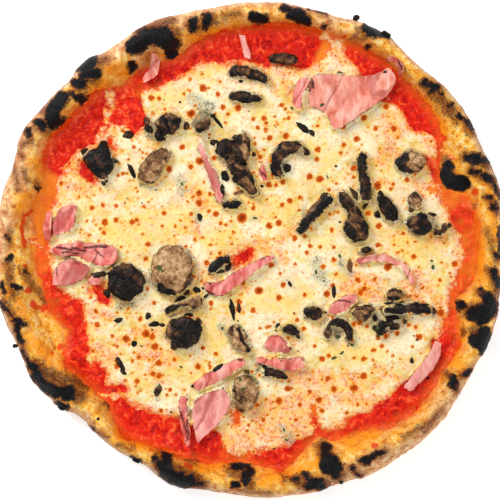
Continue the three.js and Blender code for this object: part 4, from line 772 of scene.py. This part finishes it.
def crust_finish():
    f = Finish("baked crust")
    broad, mottle, fine = f.grain(14, 2), f.grain(4.2, 4, 0.65), f.grain(1.5, 3, 0.65)
    pinprick = f.grain(0.75, 2, 0.5)
    # Paler where the mottles rise, as the relief below raises them: partly the crust's own pale patches,
    # partly painted highlight.
    shade = f.shades(f.add(f.times(mottle, 0.7), f.times(fine, 0.3)), [
        (0.34, colour(136, 80, 44)), (0.44, colour(204, 146, 96)), (0.53, colour(232, 184, 130)),
        (0.62, colour(250, 222, 176))])
    golden = f.shades(f.add(f.times(mottle, 0.6), f.times(fine, 0.4)), [
        (0.35, colour(186, 98, 22)), (0.44, colour(242, 160, 44)), (0.52, colour(253, 200, 92)),
        (0.61, colour(255, 234, 168))])
    gold_share = f.between(f.add(f.painted("golden"), f.times(broad, 0.9)), 0.55, 1.1)
    shade = f.over(gold_share, shade, golden)
    # Orange oil and red sauce soak outwards from the foot of the rim.
    soaked = f.add(f.painted("beyond_sauce"), f.times(mottle, -15), f.times(fine, -6))
    shade = f.over(f.times(f.between(soaked, 0, -11), 0.6), shade, colour(240, 116, 22))
    oily = f.add(f.painted("oily"), f.times(mottle, 12), f.times(fine, 4))
    shade = f.over(f.times(f.between(oily, 4, 11), 0.75), shade, colour(252, 150, 10))
    red = f.times(f.between(soaked, -7, -12), f.painted("redness"))
    shade = f.over(red, shade, colour(214, 28, 8))
    drops = f.between(f.add(f.painted("sauce_drops"), f.times(fine, 3), f.times(mottle, 2)), 2.3, 3.9)
    shade = f.over(f.times(drops, 0.9), shade, colour(228, 44, 12))
    blush = f.between(f.add(f.grain(6.5, 4, 0.6, 0.4, 3), f.times(fine, 0.3)), 0.66, 0.76)
    shade = f.over(f.times(blush, 0.5), shade, colour(196, 92, 28))
    # Leopard specks, brown scorch and black char.
    scorch = f.add(f.painted("browned"), f.times(mottle, 13), f.times(fine, 13))
    shade = f.over(f.times(f.between(scorch, 9.5, 16), 0.82), shade, colour(122, 58, 22))
    specks = f.between(f.add(fine, f.times(pinprick, 0.5), f.times(f.painted("browned"), 0.035)),
                       0.89, 0.99)
    shade = f.over(f.times(specks, 0.85), shade, colour(70, 32, 14))
    edge = f.add(f.painted("edge_scorch"), f.times(mottle, 0.9), f.times(fine, 0.6))
    shade = f.over(f.between(edge, 1.15, 1.6), shade, colour(62, 32, 18))
    char = f.add(f.painted("charred"), f.times(mottle, 6), f.times(fine, 6))
    shade = f.over(f.times(f.between(char, 3.4, 5.6), 0.9), shade, colour(84, 40, 20))
    ash = f.shades(fine, [(0.35, colour(5, 5, 6)), (0.64, colour(26, 25, 28))])
    shade = f.over(f.between(char, 5.3, 6.7), shade, ash)
    f.relief((broad, 0.5), (mottle, 0.9), (fine, 0.4))
    return f.surface(Base_Color=shade, Roughness=0.5, Specular_IOR_Level=0.1)


def sauce_finish():
    f = Finish("tomato sauce")
    pulp, fine, broad = f.grain(5.2, 4, 0.58, 0.8), f.grain(1.6, 3), f.grain(14, 2)
    # Lighter on the raised pulp lumps and darker between them: partly the pulp's own colour, partly painted
    # highlight and shade.
    shade = f.shades(f.add(f.times(pulp, 0.6), f.times(fine, 0.25), f.times(broad, 0.15)), [
        (0.36, colour(142, 8, 2)), (0.45, colour(202, 18, 4)), (0.54, colour(232, 42, 12)),
        (0.63, colour(252, 112, 54))])
    soaked = f.add(f.painted("beyond_sauce"), f.times(broad, -14), f.times(pulp, -12))
    shade = f.over(f.times(f.between(soaked, -23, -8), 0.7), shade, colour(238, 104, 24))
    pale = f.add(f.times(f.painted("redness"), 0.8), f.times(broad, 0.7), f.times(pulp, 0.3))
    shade = f.over(f.times(f.between(pale, 1.02, 0.62), 0.85), shade, colour(246, 140, 34))
    f.relief((pulp, 1.1), (fine, 0.3))
    return f.surface(Base_Color=shade, Roughness=0.28, Specular_IOR_Level=0.16)


def cheese_finish():
    f = Finish("melted cheese")
    broad, curd, fine = f.grain(16, 2), f.grain(4.4, 3, 0.6), f.grain(1.3, 3, 0.6)
    grit, pinprick = f.grain(2.1, 4, 0.7), f.grain(0.8, 2)
    shade = f.shades(f.add(f.times(broad, 0.4), f.times(curd, 0.4), f.times(fine, 0.2)), [
        (0.38, colour(228, 192, 100)), (0.46, colour(240, 220, 146)), (0.55, colour(246, 238, 200))])
    yellow = f.between(f.add(f.painted("yellow"), f.times(curd, 10)), 1, 10)
    shade = f.over(f.times(yellow, 0.6), shade, colour(250, 216, 112))
    white = f.between(f.add(f.painted("rich"), f.times(curd, 8)), 1, 8)
    shade = f.over(f.times(white, 0.6), shade, colour(250, 242, 210))
    # Sauce and oil show through where the cheese is thin, and at its lacy edge.
    thin = f.add(f.painted("thin"), f.times(grit, 17), f.times(curd, 6), f.times(fine, 8))
    lace = f.times(f.between(thin, 11, 18), 0.8)
    shade = f.over(lace, shade, f.shades(curd, [(0.42, colour(252, 186, 96)),
                                                (0.56, colour(248, 196, 150))]))
    shade = f.over(f.times(f.between(thin, 17, 21), 0.9), shade, colour(232, 92, 26))
    shade = f.over(f.between(thin, 21, 25), shade, colour(214, 34, 8))
    # Grey by the mushrooms, partly mushroom under thin cheese and partly painted shadow; darker brown specks
    # round the mushrooms.
    grey = f.between(f.add(f.painted("grey"), f.times(curd, 10)), 2, 10)
    shade = f.over(f.times(grey, 0.55), shade, colour(186, 186, 158))
    near_mushrooms = f.add(f.times(f.painted("near_mushrooms"), 0.42), f.times(fine, 0.8), f.times(curd, 0.4),
                  f.times(grey, 0.16))
    shade = f.over(f.times(f.between(near_mushrooms, 0.72, 0.92), 0.75), shade, colour(104, 84, 54))
    shade = f.over(f.between(f.add(pinprick, f.times(grey, 0.12)), 0.745, 0.775), shade,
                   colour(70, 54, 30))
    # Blistered spots: orange, with a brown middle.
    spot = f.add(f.painted("spots"), f.times(fine, 3.4), f.times(curd, 1.6))
    shade = f.over(f.times(f.between(spot, 1.0, 2.8), 0.75), shade, colour(248, 170, 40))
    shade = f.over(f.times(f.between(spot, 2.2, 3.2), 0.95), shade, colour(196, 72, 0))
    shade = f.over(f.times(f.between(spot, 4.0, 5.6), 0.8), shade, colour(124, 32, 0))
    freckles = f.between(f.add(grit, f.times(f.between(thin, 6, 13), 0.07)), 0.675, 0.715)
    shade = f.over(f.times(freckles, 0.75), shade, colour(222, 120, 24))
    f.relief((curd, 1.2), (fine, 0.25))
    return f.surface(Base_Color=shade, Roughness=0.36, Specular_IOR_Level=0.07)


def ham_finish():
    f = Finish("cooked ham")
    streak_place = f.node("ShaderNodeMapping", {"Vector": f.place, "Scale": (1, 0.42, 1),
                                                "Rotation": (0, 0, 0.7)}).outputs["Vector"]
    marbling = f.node("ShaderNodeTexNoise", {"Vector": streak_place, "Scale": 1 / (5 * MM),
                                             "Detail": 4, "Distortion": 0.8}).outputs["Fac"]
    fine, cloud = f.grain(1.1, 3), f.grain(12, 2)
    salmon = f.shades(marbling, [(0.34, colour(204, 96, 70)), (0.5, colour(232, 140, 116)),
                                 (0.66, colour(244, 182, 156))])
    pink = f.shades(marbling, [(0.34, colour(200, 74, 74)), (0.5, colour(232, 118, 112)),
                               (0.66, colour(246, 168, 156))])
    shade = f.over(f.painted("pink"), salmon, pink)
    pale = f.add(f.painted("pale"), f.times(cloud, 0.6), f.times(marbling, 0.4))
    shade = f.over(f.times(f.between(pale, 0.66, 1.2), 0.55), shade, colour(244, 190, 180))
    # Painted shade in the low dips between the folds.
    painted_fold_shade = f.add(f.painted("painted_fold_shade"), f.times(fine, 0.5))
    shade = f.over(f.times(f.between(painted_fold_shade, 0.55, 1.3), 0.55), shade, colour(160, 48, 40))
    toast = f.add(f.painted("side"), f.times(fine, 0.9), f.times(marbling, 0.4))
    shade = f.over(f.times(f.between(toast, 1.1, 1.5), 0.6), shade, colour(176, 60, 36))
    cracks = f.add(f.painted("cracks"), f.times(fine, 2))
    shade = f.over(f.times(f.between(cracks, 0.5, 1.7), 0.9), shade, colour(74, 18, 14))
    shade = f.over(f.times(f.between(fine, 0.71, 0.76), 0.7), shade, colour(110, 40, 26))
    f.relief((marbling, 0.25), (fine, 0.1))
    return f.surface(Base_Color=shade, Roughness=0.42, Specular_IOR_Level=0.25)


def mushroom_finish():
    f = Finish("roasted mushroom")
    mottle, fine = f.grain(3.0, 4, 0.65, 0.5), f.grain(0.9, 3, 0.6)
    tone = f.add(f.painted("tone"), 0.07, f.times(f.add(mottle, -0.5), 1.15),
                 f.times(f.add(fine, -0.5), 0.5))
    shade = f.shades(tone, [
        (0.06, colour(9, 7, 6)), (0.22, colour(32, 20, 13)), (0.38, colour(76, 46, 27)),
        (0.56, colour(126, 86, 52)), (0.76, colour(176, 132, 88)), (0.98, colour(222, 188, 140))])
    f.relief((mottle, 0.7), (fine, 0.3))
    return f.surface(Base_Color=shade, Roughness=0.3, Specular_IOR_Level=0.18)


def plain_finish(name, dark, light, roughness):
    f = Finish(name)
    grain = f.grain(0.6, 2)
    shade = f.shades(grain, [(0.35, dark), (0.65, light)])
    f.relief((grain, 0.1))
    return f.surface(Base_Color=shade, Roughness=roughness, Specular_IOR_Level=0.2)


# ---- crust ---------------------------------------------------------------------------------


RIM_FROM = 196  # in plan units from the pole: inside it the dough stays coarse


def refine_rim(piece):
    """Splits the faces of the rim, where the small blisters are."""
    count = len(piece.data.polygons)
    middles, normals = np.empty(count * 3), np.empty(count * 3)
    piece.data.polygons.foreach_get("center", middles)
    piece.data.polygons.foreach_get("normal", normals)
    middles, normals = middles.reshape(-1, 3), normals.reshape(-1, 3)
    radius = to_clock(*to_plan(middles[:, 0], middles[:, 1]))[1]
    select_corners(piece, np.zeros(len(piece.data.vertices), bool))
    bpy.ops.object.mode_set(mode="EDIT")
    bpy.ops.mesh.select_mode(type="FACE")
    bpy.ops.object.mode_set(mode="OBJECT")
    piece.data.polygons.foreach_set("select", (radius > RIM_FROM) & (normals[:, 2] > -0.1))
    bpy.ops.object.mode_set(mode="EDIT")
    bpy.ops.mesh.subdivide(number_cuts=2)
    bpy.ops.mesh.vertices_smooth(factor=0.5, repeat=4)
    bpy.ops.object.mode_set(mode="OBJECT")


def bake_crust(material):
    piece = copy_of_solid("dough", "crust")
    subdivide_smoothly(piece, 1)
    refine_rim(piece)
    corners, normals = corners_of(piece), normals_of(piece)
    across, down = to_plan(corners[:, 0], corners[:, 1])
    clock, radius = to_clock(across, down)
    edge, foot = by_the_clock(clock, RIM_EDGE), by_the_clock(clock, SAUCE_EDGE)
    loose = wandering(*wandering(across, down, 2.2, 9, 12), 1.2, 3.5, 15)
    charred = inside_strokes(*loose, CHARRED)
    on_rim = soft_step(radius, foot - 12, foot + 4) * soft_step(corners[:, 2], 1 * MM, 4 * MM)
    puff = 0.8 * crumbly(across, down, 24, 3) + 0.45 * crumbly(across, down, 9, 5)
    puff += 0.35 * soft_step(charred, -1, 2) * (0.4 + crumbly(across, down, 5, 8))
    puff += 0.6 * np.exp(-((charred + 1.2) / 1.6) ** 2) + 0.24 * crumbly(across, down, 4, 9, 2)
    corners += normals * (puff * on_rim * MM)[:, None]
    place_corners(piece, inside_solid_box(corners))
    paint(piece, "charred", np.where(corners[:, 2] > 4 * MM, charred, -9))
    paint(piece, "browned", inside_strokes(*loose, BROWNED))
    paint(piece, "oily", inside_strokes(*loose, OILY))
    paint(piece, "sauce_drops", np.maximum(inside_strokes(*loose, dots(SAUCE_DROPS)),
                                           inside_strokes(*loose, SAUCE_STREAKS)))
    paint(piece, "beyond_sauce", radius - foot)
    paint(piece, "redness", by_the_clock(clock, REDNESS))
    outer = soft_step(radius, edge - 4.5, edge + 1) + soft_step(corners[:, 2], 7 * MM, 3 * MM) * 0.2
    paint(piece, "edge_scorch", outer * by_the_clock(clock, EDGE_SCORCH))
    out = (radius - foot) / (edge - foot)
    pale = soft_step(out, 1 - by_the_clock(clock, PALE_SIDE) - 0.2, 1)
    paint(piece, "golden", by_the_clock(clock, GOLDEN) * (1 - pale) - 0.05 * pale)
    finish_piece(piece, material, "crust", "dough")
    return piece


# ---- toppings ------------------------------------------------------------------------------


def shrivel(piece, marks, base_tone, seed):
    """Gives a slice of mushroom its creases and wandering outline, and its light and dark parts, with painted
    shade in the creases.
    """
    corners, normals = corners_of(piece), normals_of(piece)
    across, down = to_plan(corners[:, 0], corners[:, 1])
    corners[:, 0] += MM * (0.9 * crumbly(across, down, 9, seed) + 0.35 * lumps(across, down, 3, seed))
    corners[:, 1] += MM * (0.9 * crumbly(across, down, 9, seed + 1) + 0.35 * lumps(across, down, 3, seed + 3))
    crease = np.abs(crumbly(across + 0.7 * down, 0.3 * (down - across), 8, seed + 2, 2)) ** 0.7
    wrinkle = 0.55 * (crease - 0.45) + 0.7 * crumbly(across, down, 14, seed + 4)
    wrinkle += 0.25 * crumbly(across, down, 3, seed + 6, 2)
    up = np.clip(normals[:, 2], 0, 1)
    corners += normals * (wrinkle * (0.3 + 0.7 * up) * MM)[:, None]
    place_corners(piece, inside_solid_box(corners))
    tone = np.full(len(corners), float(base_tone))
    tone += 0.3 * crumbly(across, down, 12, seed + 9, 2)
    loose = wandering(across, down, 1.5, 6, seed + 8)
    for *stroke, lightness in marks:
        share = soft_step(inside_strokes(*loose, [stroke]), -1, 1)
        tone += share * (lightness - tone)
    # The creases are painted darker, as shade; the steep sides are painted darker as well.
    paint(piece, "tone", tone - 0.1 * soft_step(0.35 - crease, 0, 0.3) - 0.22 * (1 - up) ** 1.5)


MUSHROOM_VOXEL = 0.6 * MM


def shape_mushroom(node, material):
    base_tone, marks = MUSHROOM_TONES[node]
    piece = copy_of_solid(node, node.replace("mushroom_", "roasted_mushroom_"))
    apply_modifier(piece, "REMESH", mode="VOXEL", voxel_size=MUSHROOM_VOXEL)
    apply_modifier(piece, "SMOOTH", factor=0.5, iterations=6)
    shrivel(piece, marks, base_tone, 17 + 3 * len(node))
    finish_piece(piece, material, "mushroom", node)
    return piece


def shape_ham(node, material):
    pink, pale = HAM_TINTS[node]
    piece = copy_of_solid(node, node.replace("ham_", "ham_slice_"))
    make_active(piece)
    bpy.ops.object.mode_set(mode="EDIT")
    bpy.ops.mesh.select_mode(type="EDGE")
    bpy.ops.mesh.select_all(action="DESELECT")
    bpy.ops.mesh.edges_select_sharp(sharpness=math.radians(50))
    bpy.ops.transform.edge_crease(value=0.75)
    bpy.ops.object.mode_set(mode="OBJECT")
    subdivide_smoothly(piece, 3)
    corners = corners_of(piece)
    across, down = to_plan(corners[:, 0], corners[:, 1])
    seed = 29 + 5 * len(node)
    corners[:, 0] += MM * (0.7 * crumbly(across, down, 9, seed) + 0.3 * lumps(across, down, 3, seed))
    corners[:, 1] += MM * (0.7 * crumbly(across, down, 9, seed + 1) + 0.3 * lumps(across, down, 3, seed + 4))
    fold = np.abs(lumps(across + 0.6 * down, 0.4 * down, 18, seed + 2))
    wave = 1.5 * (fold - 0.4) + 0.2 * crumbly(across, down, 7, seed + 3)
    corners[:, 2] += wave * MM
    place_corners(piece, inside_solid_box(corners))
    paint(piece, "pink", pink)
    paint(piece, "pale", pale)
    # Painted shade in the low dips between the folds.
    paint(piece, "painted_fold_shade", 1.3 * soft_step(0.28 - fold, 0, 0.28))
    paint(piece, "side", soft_step(1 - np.abs(normals_of(piece)[:, 2]), 0.35, 0.9))
    paint(piece, "cracks", inside_strokes(*wandering(across, down, 1, 5, seed), HAM_CRACKS))
    finish_piece(piece, material, "ham", node)
    return piece


def add_bits(name, places, heights, thickness, material, slot, seed):
    """Small torn bits lying on the pizza: plan place, half length, half width, turn and tone."""
    bits = []
    for index, (across, down, half_length, half_width, turn, tone) in enumerate(places):
        x, y = from_plan(across, down)
        bpy.ops.object.select_all(action="DESELECT")
        bpy.ops.mesh.primitive_ico_sphere_add(subdivisions=4 if half_length > 2.4 else 2, radius=1)
        bit = bpy.context.object
        corners = corners_of(bit)
        ripple = 1 + 0.3 * crumbly(corners[:, 0] * 9 + 31 * index, corners[:, 1] * 9, 7, seed)
        ripple += 0.16 * crumbly(corners[:, 0] * 9 + corners[:, 2] * 9,
                                 corners[:, 1] * 9 + 17 * index, 3, seed)
        corners *= ripple[:, None]
        along, aside = corners[:, 0] * half_length * UNIT, corners[:, 1] * half_width * UNIT
        bend = math.radians(turn)
        corners = np.stack([x + along * math.cos(bend) - aside * math.sin(bend),
                            y + along * math.sin(bend) + aside * math.cos(bend),
                            corners[:, 2] * thickness * MM], axis=1)
        ground = heights(corners[:, 0], corners[:, 1])
        ground = np.where(np.isfinite(ground), ground, np.nanmean(ground))
        corners[:, 2] += 0.5 * ground + 0.5 * ground.mean()
        place_corners(bit, inside_solid_box(corners))
        paint(bit, "tone", tone)
        bits.append(bit)
    bpy.ops.object.select_all(action="DESELECT")
    for bit in bits:
        bit.select_set(True)
    bpy.context.view_layer.objects.active = bits[0]
    bpy.ops.object.join()
    bits[0].name = bits[0].data.name = name
    finish_piece(bits[0], material, slot)


# ---- sauce and cheese ----------------------------------------------------------------------


def add_grid(name, reach, step):
    """A level square sheet of small squares, and its corners in rows."""
    bpy.ops.object.select_all(action="DESELECT")
    cells = round(2 * reach / step)
    bpy.ops.mesh.primitive_grid_add(x_subdivisions=cells, y_subdivisions=cells, size=2 * reach)
    piece = bpy.context.object
    piece.name = piece.data.name = name
    corners = corners_of(piece)
    rows = np.lexsort((corners[:, 0], corners[:, 1])).reshape(cells + 1, cells + 1)
    return piece, rows


# Both undersides lie inside the dough, under its floor, so they never show.
SAUCE_UNDERSIDE = 3.2 * MM
CHEESE_UNDERSIDE = 3.3 * MM
LEAST_THICKNESS = 0.2 * MM


def cut_and_thicken(piece, rows, heights, keep, underside):
    """Gives a grid its heights, drops what isn't kept of it and closes it with a flat underside."""
    corners = corners_of(piece)
    corners[rows, 2] = np.maximum(heights, underside + LEAST_THICKNESS)
    place_corners(piece, corners)
    kept = np.empty(len(corners), bool)
    kept[rows] = keep
    select_corners(piece, ~kept)
    bpy.ops.object.mode_set(mode="EDIT")
    bpy.ops.mesh.delete(type="VERT")
    bpy.ops.object.mode_set(mode="OBJECT")
    top = len(piece.data.vertices)
    bpy.ops.object.mode_set(mode="EDIT")
    bpy.ops.mesh.select_all(action="DESELECT")
    bpy.ops.mesh.select_mode(type="EDGE")
    bpy.ops.mesh.select_non_manifold(extend=False, use_wire=False, use_multi_face=False,
                                     use_non_contiguous=False, use_verts=False)
    bpy.ops.mesh.extrude_edges_move()
    bpy.ops.object.mode_set(mode="OBJECT")
    corners = corners_of(piece)
    corners[top:, 2] = underside
    place_corners(piece, corners)
    bpy.ops.object.mode_set(mode="EDIT")
    bpy.ops.mesh.fill(use_beauty=False)
    bpy.ops.mesh.select_all(action="SELECT")
    bpy.ops.mesh.normals_make_consistent(inside=False)
    bpy.ops.object.mode_set(mode="OBJECT")


SAUCE_REACH, SAUCE_STEP = 152 * MM, 1.05 * MM  # half its grid's width, and its squares


def spread_sauce(material, crust_heights):
    piece, rows = add_grid("sauce", SAUCE_REACH, SAUCE_STEP)
    x, y = (corners_of(piece)[rows, axis] for axis in (0, 1))
    across, down = to_plan(x, y)
    clock, radius = to_clock(across, down)
    ground = crust_heights(x, y)
    beyond = radius - by_the_clock(clock, SAUCE_EDGE) + 3 * crumbly(across, down, 14, 41)
    keep = np.isfinite(ground) & (beyond < 2)
    ground = np.where(np.isfinite(ground), ground, 0)
    pulp = 0.4 * crumbly(across, down, 5, 43) + 0.5 * crumbly(across, down, 16, 47)
    depth = np.clip(-beyond * 0.16, -1, 1.1)
    heights = ground + (depth + pulp * soft_step(depth, -0.6, 0.8)) * MM
    across, down = to_plan(*corners_of(piece)[:, :2].T)
    clock, radius = to_clock(across, down)
    paint(piece, "beyond_sauce", radius - by_the_clock(clock, SAUCE_EDGE))
    paint(piece, "redness", by_the_clock(clock, REDNESS))
    cut_and_thicken(piece, rows, heights, keep, SAUCE_UNDERSIDE)
    finish_piece(piece, material, "sauce", "tomato_sauce")
    return piece


SPOT_TRIES = 2300
LEAST_SPOT, SPOT_SPREAD = 0.5, 1.3  # radii in plan units


def scattered_spots():
    """Small blistered spots between the larger ones, drawn at random, the same each time."""
    draw = np.random.default_rng(20)
    clock, share, size = (draw.uniform(0, high, SPOT_TRIES) for high in (360, 1, 1))
    radius = np.sqrt(share) * (by_the_clock(clock, CHEESE_EDGE) - 3)
    turn = np.radians(clock)
    across, down = POLE[0] + radius * np.sin(turn), POLE[1] - radius * np.cos(turn)
    crowd = crumbly(across, down, 40, 61, 2) + 0.05 * inside_strokes(across, down, THIN_CHEESE)
    taken = inside_strokes(across, down, dots(CHEESE_SPOTS))
    rich = inside_strokes(across, down, RICH_CHEESE)
    wanted = (crowd > -0.45) & (taken < -1) & (rich < 2)
    radii = LEAST_SPOT + SPOT_SPREAD * size ** 3
    return list(zip(across[wanted], down[wanted], radii[wanted]))


def edge_heights(tops, width):
    """The height of the nearby toppings, also just beside them, from a grid of their tops."""
    there = np.isfinite(tops).astype(float)
    weight = blurred(there, width)
    total = blurred(np.where(there > 0, tops, 0), width)
    return total / np.maximum(weight, 1e-6), weight


CHEESE_REACH, CHEESE_STEP = 144 * MM, 0.9 * MM


def melt_cheese(material, ground_heights, mushrooms, ham):
    piece, rows = add_grid("cheese_melt", CHEESE_REACH, CHEESE_STEP)
    x, y = (corners_of(piece)[rows, axis] for axis in (0, 1))
    across, down = to_plan(x, y)
    ground = ground_heights(x, y)
    on_pizza = np.isfinite(ground)
    bare_ground = np.where(on_pizza, ground, 0)
    ground = blurred(bare_ground, 1.6)

    ragged = 5 * crumbly(across, down, 17, 71) + 3.6 * crumbly(across, down, 6, 73)
    clock, radius = to_clock(*wandering(across, down, 5, 16, 95))
    inward = by_the_clock(clock, CHEESE_EDGE) - radius + ragged
    torn = wandering(across, down, 4, 8, 97)
    inward = np.maximum(inward, 1.1 * inside_strokes(*torn, CHEESE_ISLANDS) + ragged)
    inward = np.minimum(inward, 0.6 * ragged - 1.1 * inside_strokes(*torn, BARE_SAUCE))
    ground = np.where(inward < 3, np.minimum(ground, bare_ground), ground)
    loose = wandering(across, down, 3, 11, 91)
    thin = inside_strokes(*loose, THIN_CHEESE)
    rich = inside_strokes(*loose, RICH_CHEESE)
    spots = inside_strokes(*wandering(across, down, 0.8, 4, 93), dots(CHEESE_SPOTS + scattered_spots()), 4)

    depth = 2.3 * (1 - np.exp(-np.clip(inward, 0, None) / 9)) + 0.22 * np.clip(inward, -9, 0)
    depth *= 1 - 0.45 * soft_step(thin, -4, 6)
    curds = 0.6 * crumbly(across, down, 12, 77) + 0.4 * crumbly(across, down, 5, 79)
    depth += curds * soft_step(inward, 0, 10) + 0.45 * soft_step(rich, -4, 5)
    depth -= 0.35 * soft_step(spots, -0.5, 2)
    heights = ground + depth * MM

    # It laps over the edges of the toppings, and runs right over them in places.
    over = inside_strokes(*loose, CHEESE_OVER)
    by_mushroom = np.zeros_like(x)
    for pieces, overlap in ((mushrooms, 0.19), (ham, 0.08)):
        tops = looking_down_on(pieces)(x, y)
        nearby, beside = edge_heights(tops, 1.7)
        lap = overlap + 0.42 * crumbly(across, down, 8, 83) + 0.5 * soft_step(over, -2, 3)
        melted = soft_step(inward, -2, 6)
        climb = soft_step(beside, 0.1, 0.5) * soft_step(lap, -0.12, 0.12) * melted
        outside = heights + np.clip(nearby + 0.4 * MM - heights, 0, None) * climb
        cover = soft_step(0.5 + lap - beside, -0.05, 0.05) * melted
        low = np.minimum(heights, np.where(np.isfinite(tops), tops, 0) - 0.8 * MM)
        inside = low + (np.where(np.isfinite(tops), tops, 0) + 0.45 * MM - low) * cover
        heights = np.where(np.isfinite(tops), inside, outside)
        if pieces is mushrooms:
            # The mushrooms' blurred outline, for darker brown specks round them in the cheese.
            by_mushroom = blurred(np.isfinite(tops).astype(float), 2.4)

    fields = {"spots": spots, "rich": rich, "near_mushrooms": by_mushroom * 1.3,
              "thin": np.maximum(np.minimum(thin, 2.4), 6 - 0.85 * inward),
              "yellow": inside_strokes(*loose, YELLOW_CHEESE),
              "grey": inside_strokes(*loose, GREY_AND_SHADOW_CHEESE)}
    for name, field in fields.items():
        values = np.empty(len(piece.data.vertices))
        values[rows] = field
        paint(piece, name, values)
    cut_and_thicken(piece, rows, heights, on_pizza & (inward > -7), CHEESE_UNDERSIDE)
    finish_piece(piece, material, "cheese", "cheese")
    return piece


# ---- the whole pizza -----------------------------------------------------------------------

crust = bake_crust(crust_finish())
sauce = spread_sauce(sauce_finish(), looking_down_on([crust]))
roasted, cooked = mushroom_finish(), ham_finish()
mushrooms = [shape_mushroom(node, roasted) for node in MUSHROOM_TONES]
ham = [shape_ham(node, cooked) for node in HAM_TINTS]
cheese = melt_cheese(cheese_finish(), looking_down_on([crust, sauce]), mushrooms, ham)
all_heights = looking_down_on([crust, sauce, cheese, *mushrooms, *ham])
herb = plain_finish("baked herb", colour(34, 50, 20), colour(84, 104, 44), 0.5)
burnt = plain_finish("burnt crumb", colour(14, 12, 12), colour(40, 34, 32), 0.7)
add_bits("mushroom_scraps", MUSHROOM_SCRAPS, all_heights, 0.8, roasted, "mushroom", 5)
add_bits("herb_flakes", HERB_FLAKES, all_heights, 0.35, herb, "cheese", 6)
add_bits("pepper_specks", PEPPER_SPECKS, all_heights, 0.5, burnt, "cheese", 7)
add_bits("crust_nubs", CRUST_NUBS, all_heights, 2.6, burnt, "crust", 8)

# ---- table, light and camera ---------------------------------------------------------------

bpy.ops.object.select_all(action="DESELECT")
bpy.ops.mesh.primitive_plane_add(size=6, location=(0, 0, -0.0002))
table = bpy.context.object
table.name = "table"
white = Finish("white table")
table.data.materials.append(white.surface(Base_Color=colour(250, 250, 250), Roughness=0.9,
                                         Emission_Color=(1, 1, 1, 1), Emission_Strength=0.4))

world = bpy.data.worlds.new("soft room")
bpy.context.scene.world = world
world.use_nodes = True
world.node_tree.nodes["Background"].inputs["Color"].default_value = (1, 1, 1, 1)
world.node_tree.nodes["Background"].inputs["Strength"].default_value = 0.46


def add_lamp(name, place, size, power):
    bpy.ops.object.light_add(type="AREA", location=place)
    lamp = bpy.context.object
    lamp.name = name
    lamp.data.size = size
    lamp.data.energy = power
    lamp.rotation_euler = (-Vector(place)).to_track_quat("-Z", "Y").to_euler()


add_lamp("window", (-0.9, 1.0, 1.2), 1.0, 27)
add_lamp("fill", (1.1, -0.8, 1.1), 1.2, 10)

VIEW_PLACE = from_plan(250, 250)
VIEW_WIDTH = 500 * UNIT
VIEW_HEIGHT = 2.2
CREST = 8 * MM  # the height at which the view is VIEW_WIDTH wide
bpy.ops.object.camera_add(location=(*VIEW_PLACE, VIEW_HEIGHT), rotation=(0, 0, 0))
camera = bpy.context.object
camera.data.sensor_width = 36
camera.data.lens = 36 * (VIEW_HEIGHT - CREST) / VIEW_WIDTH
camera.data.clip_end = 20
bpy.context.scene.camera = camera
bpy.context.scene.view_settings.view_transform = "Standard"
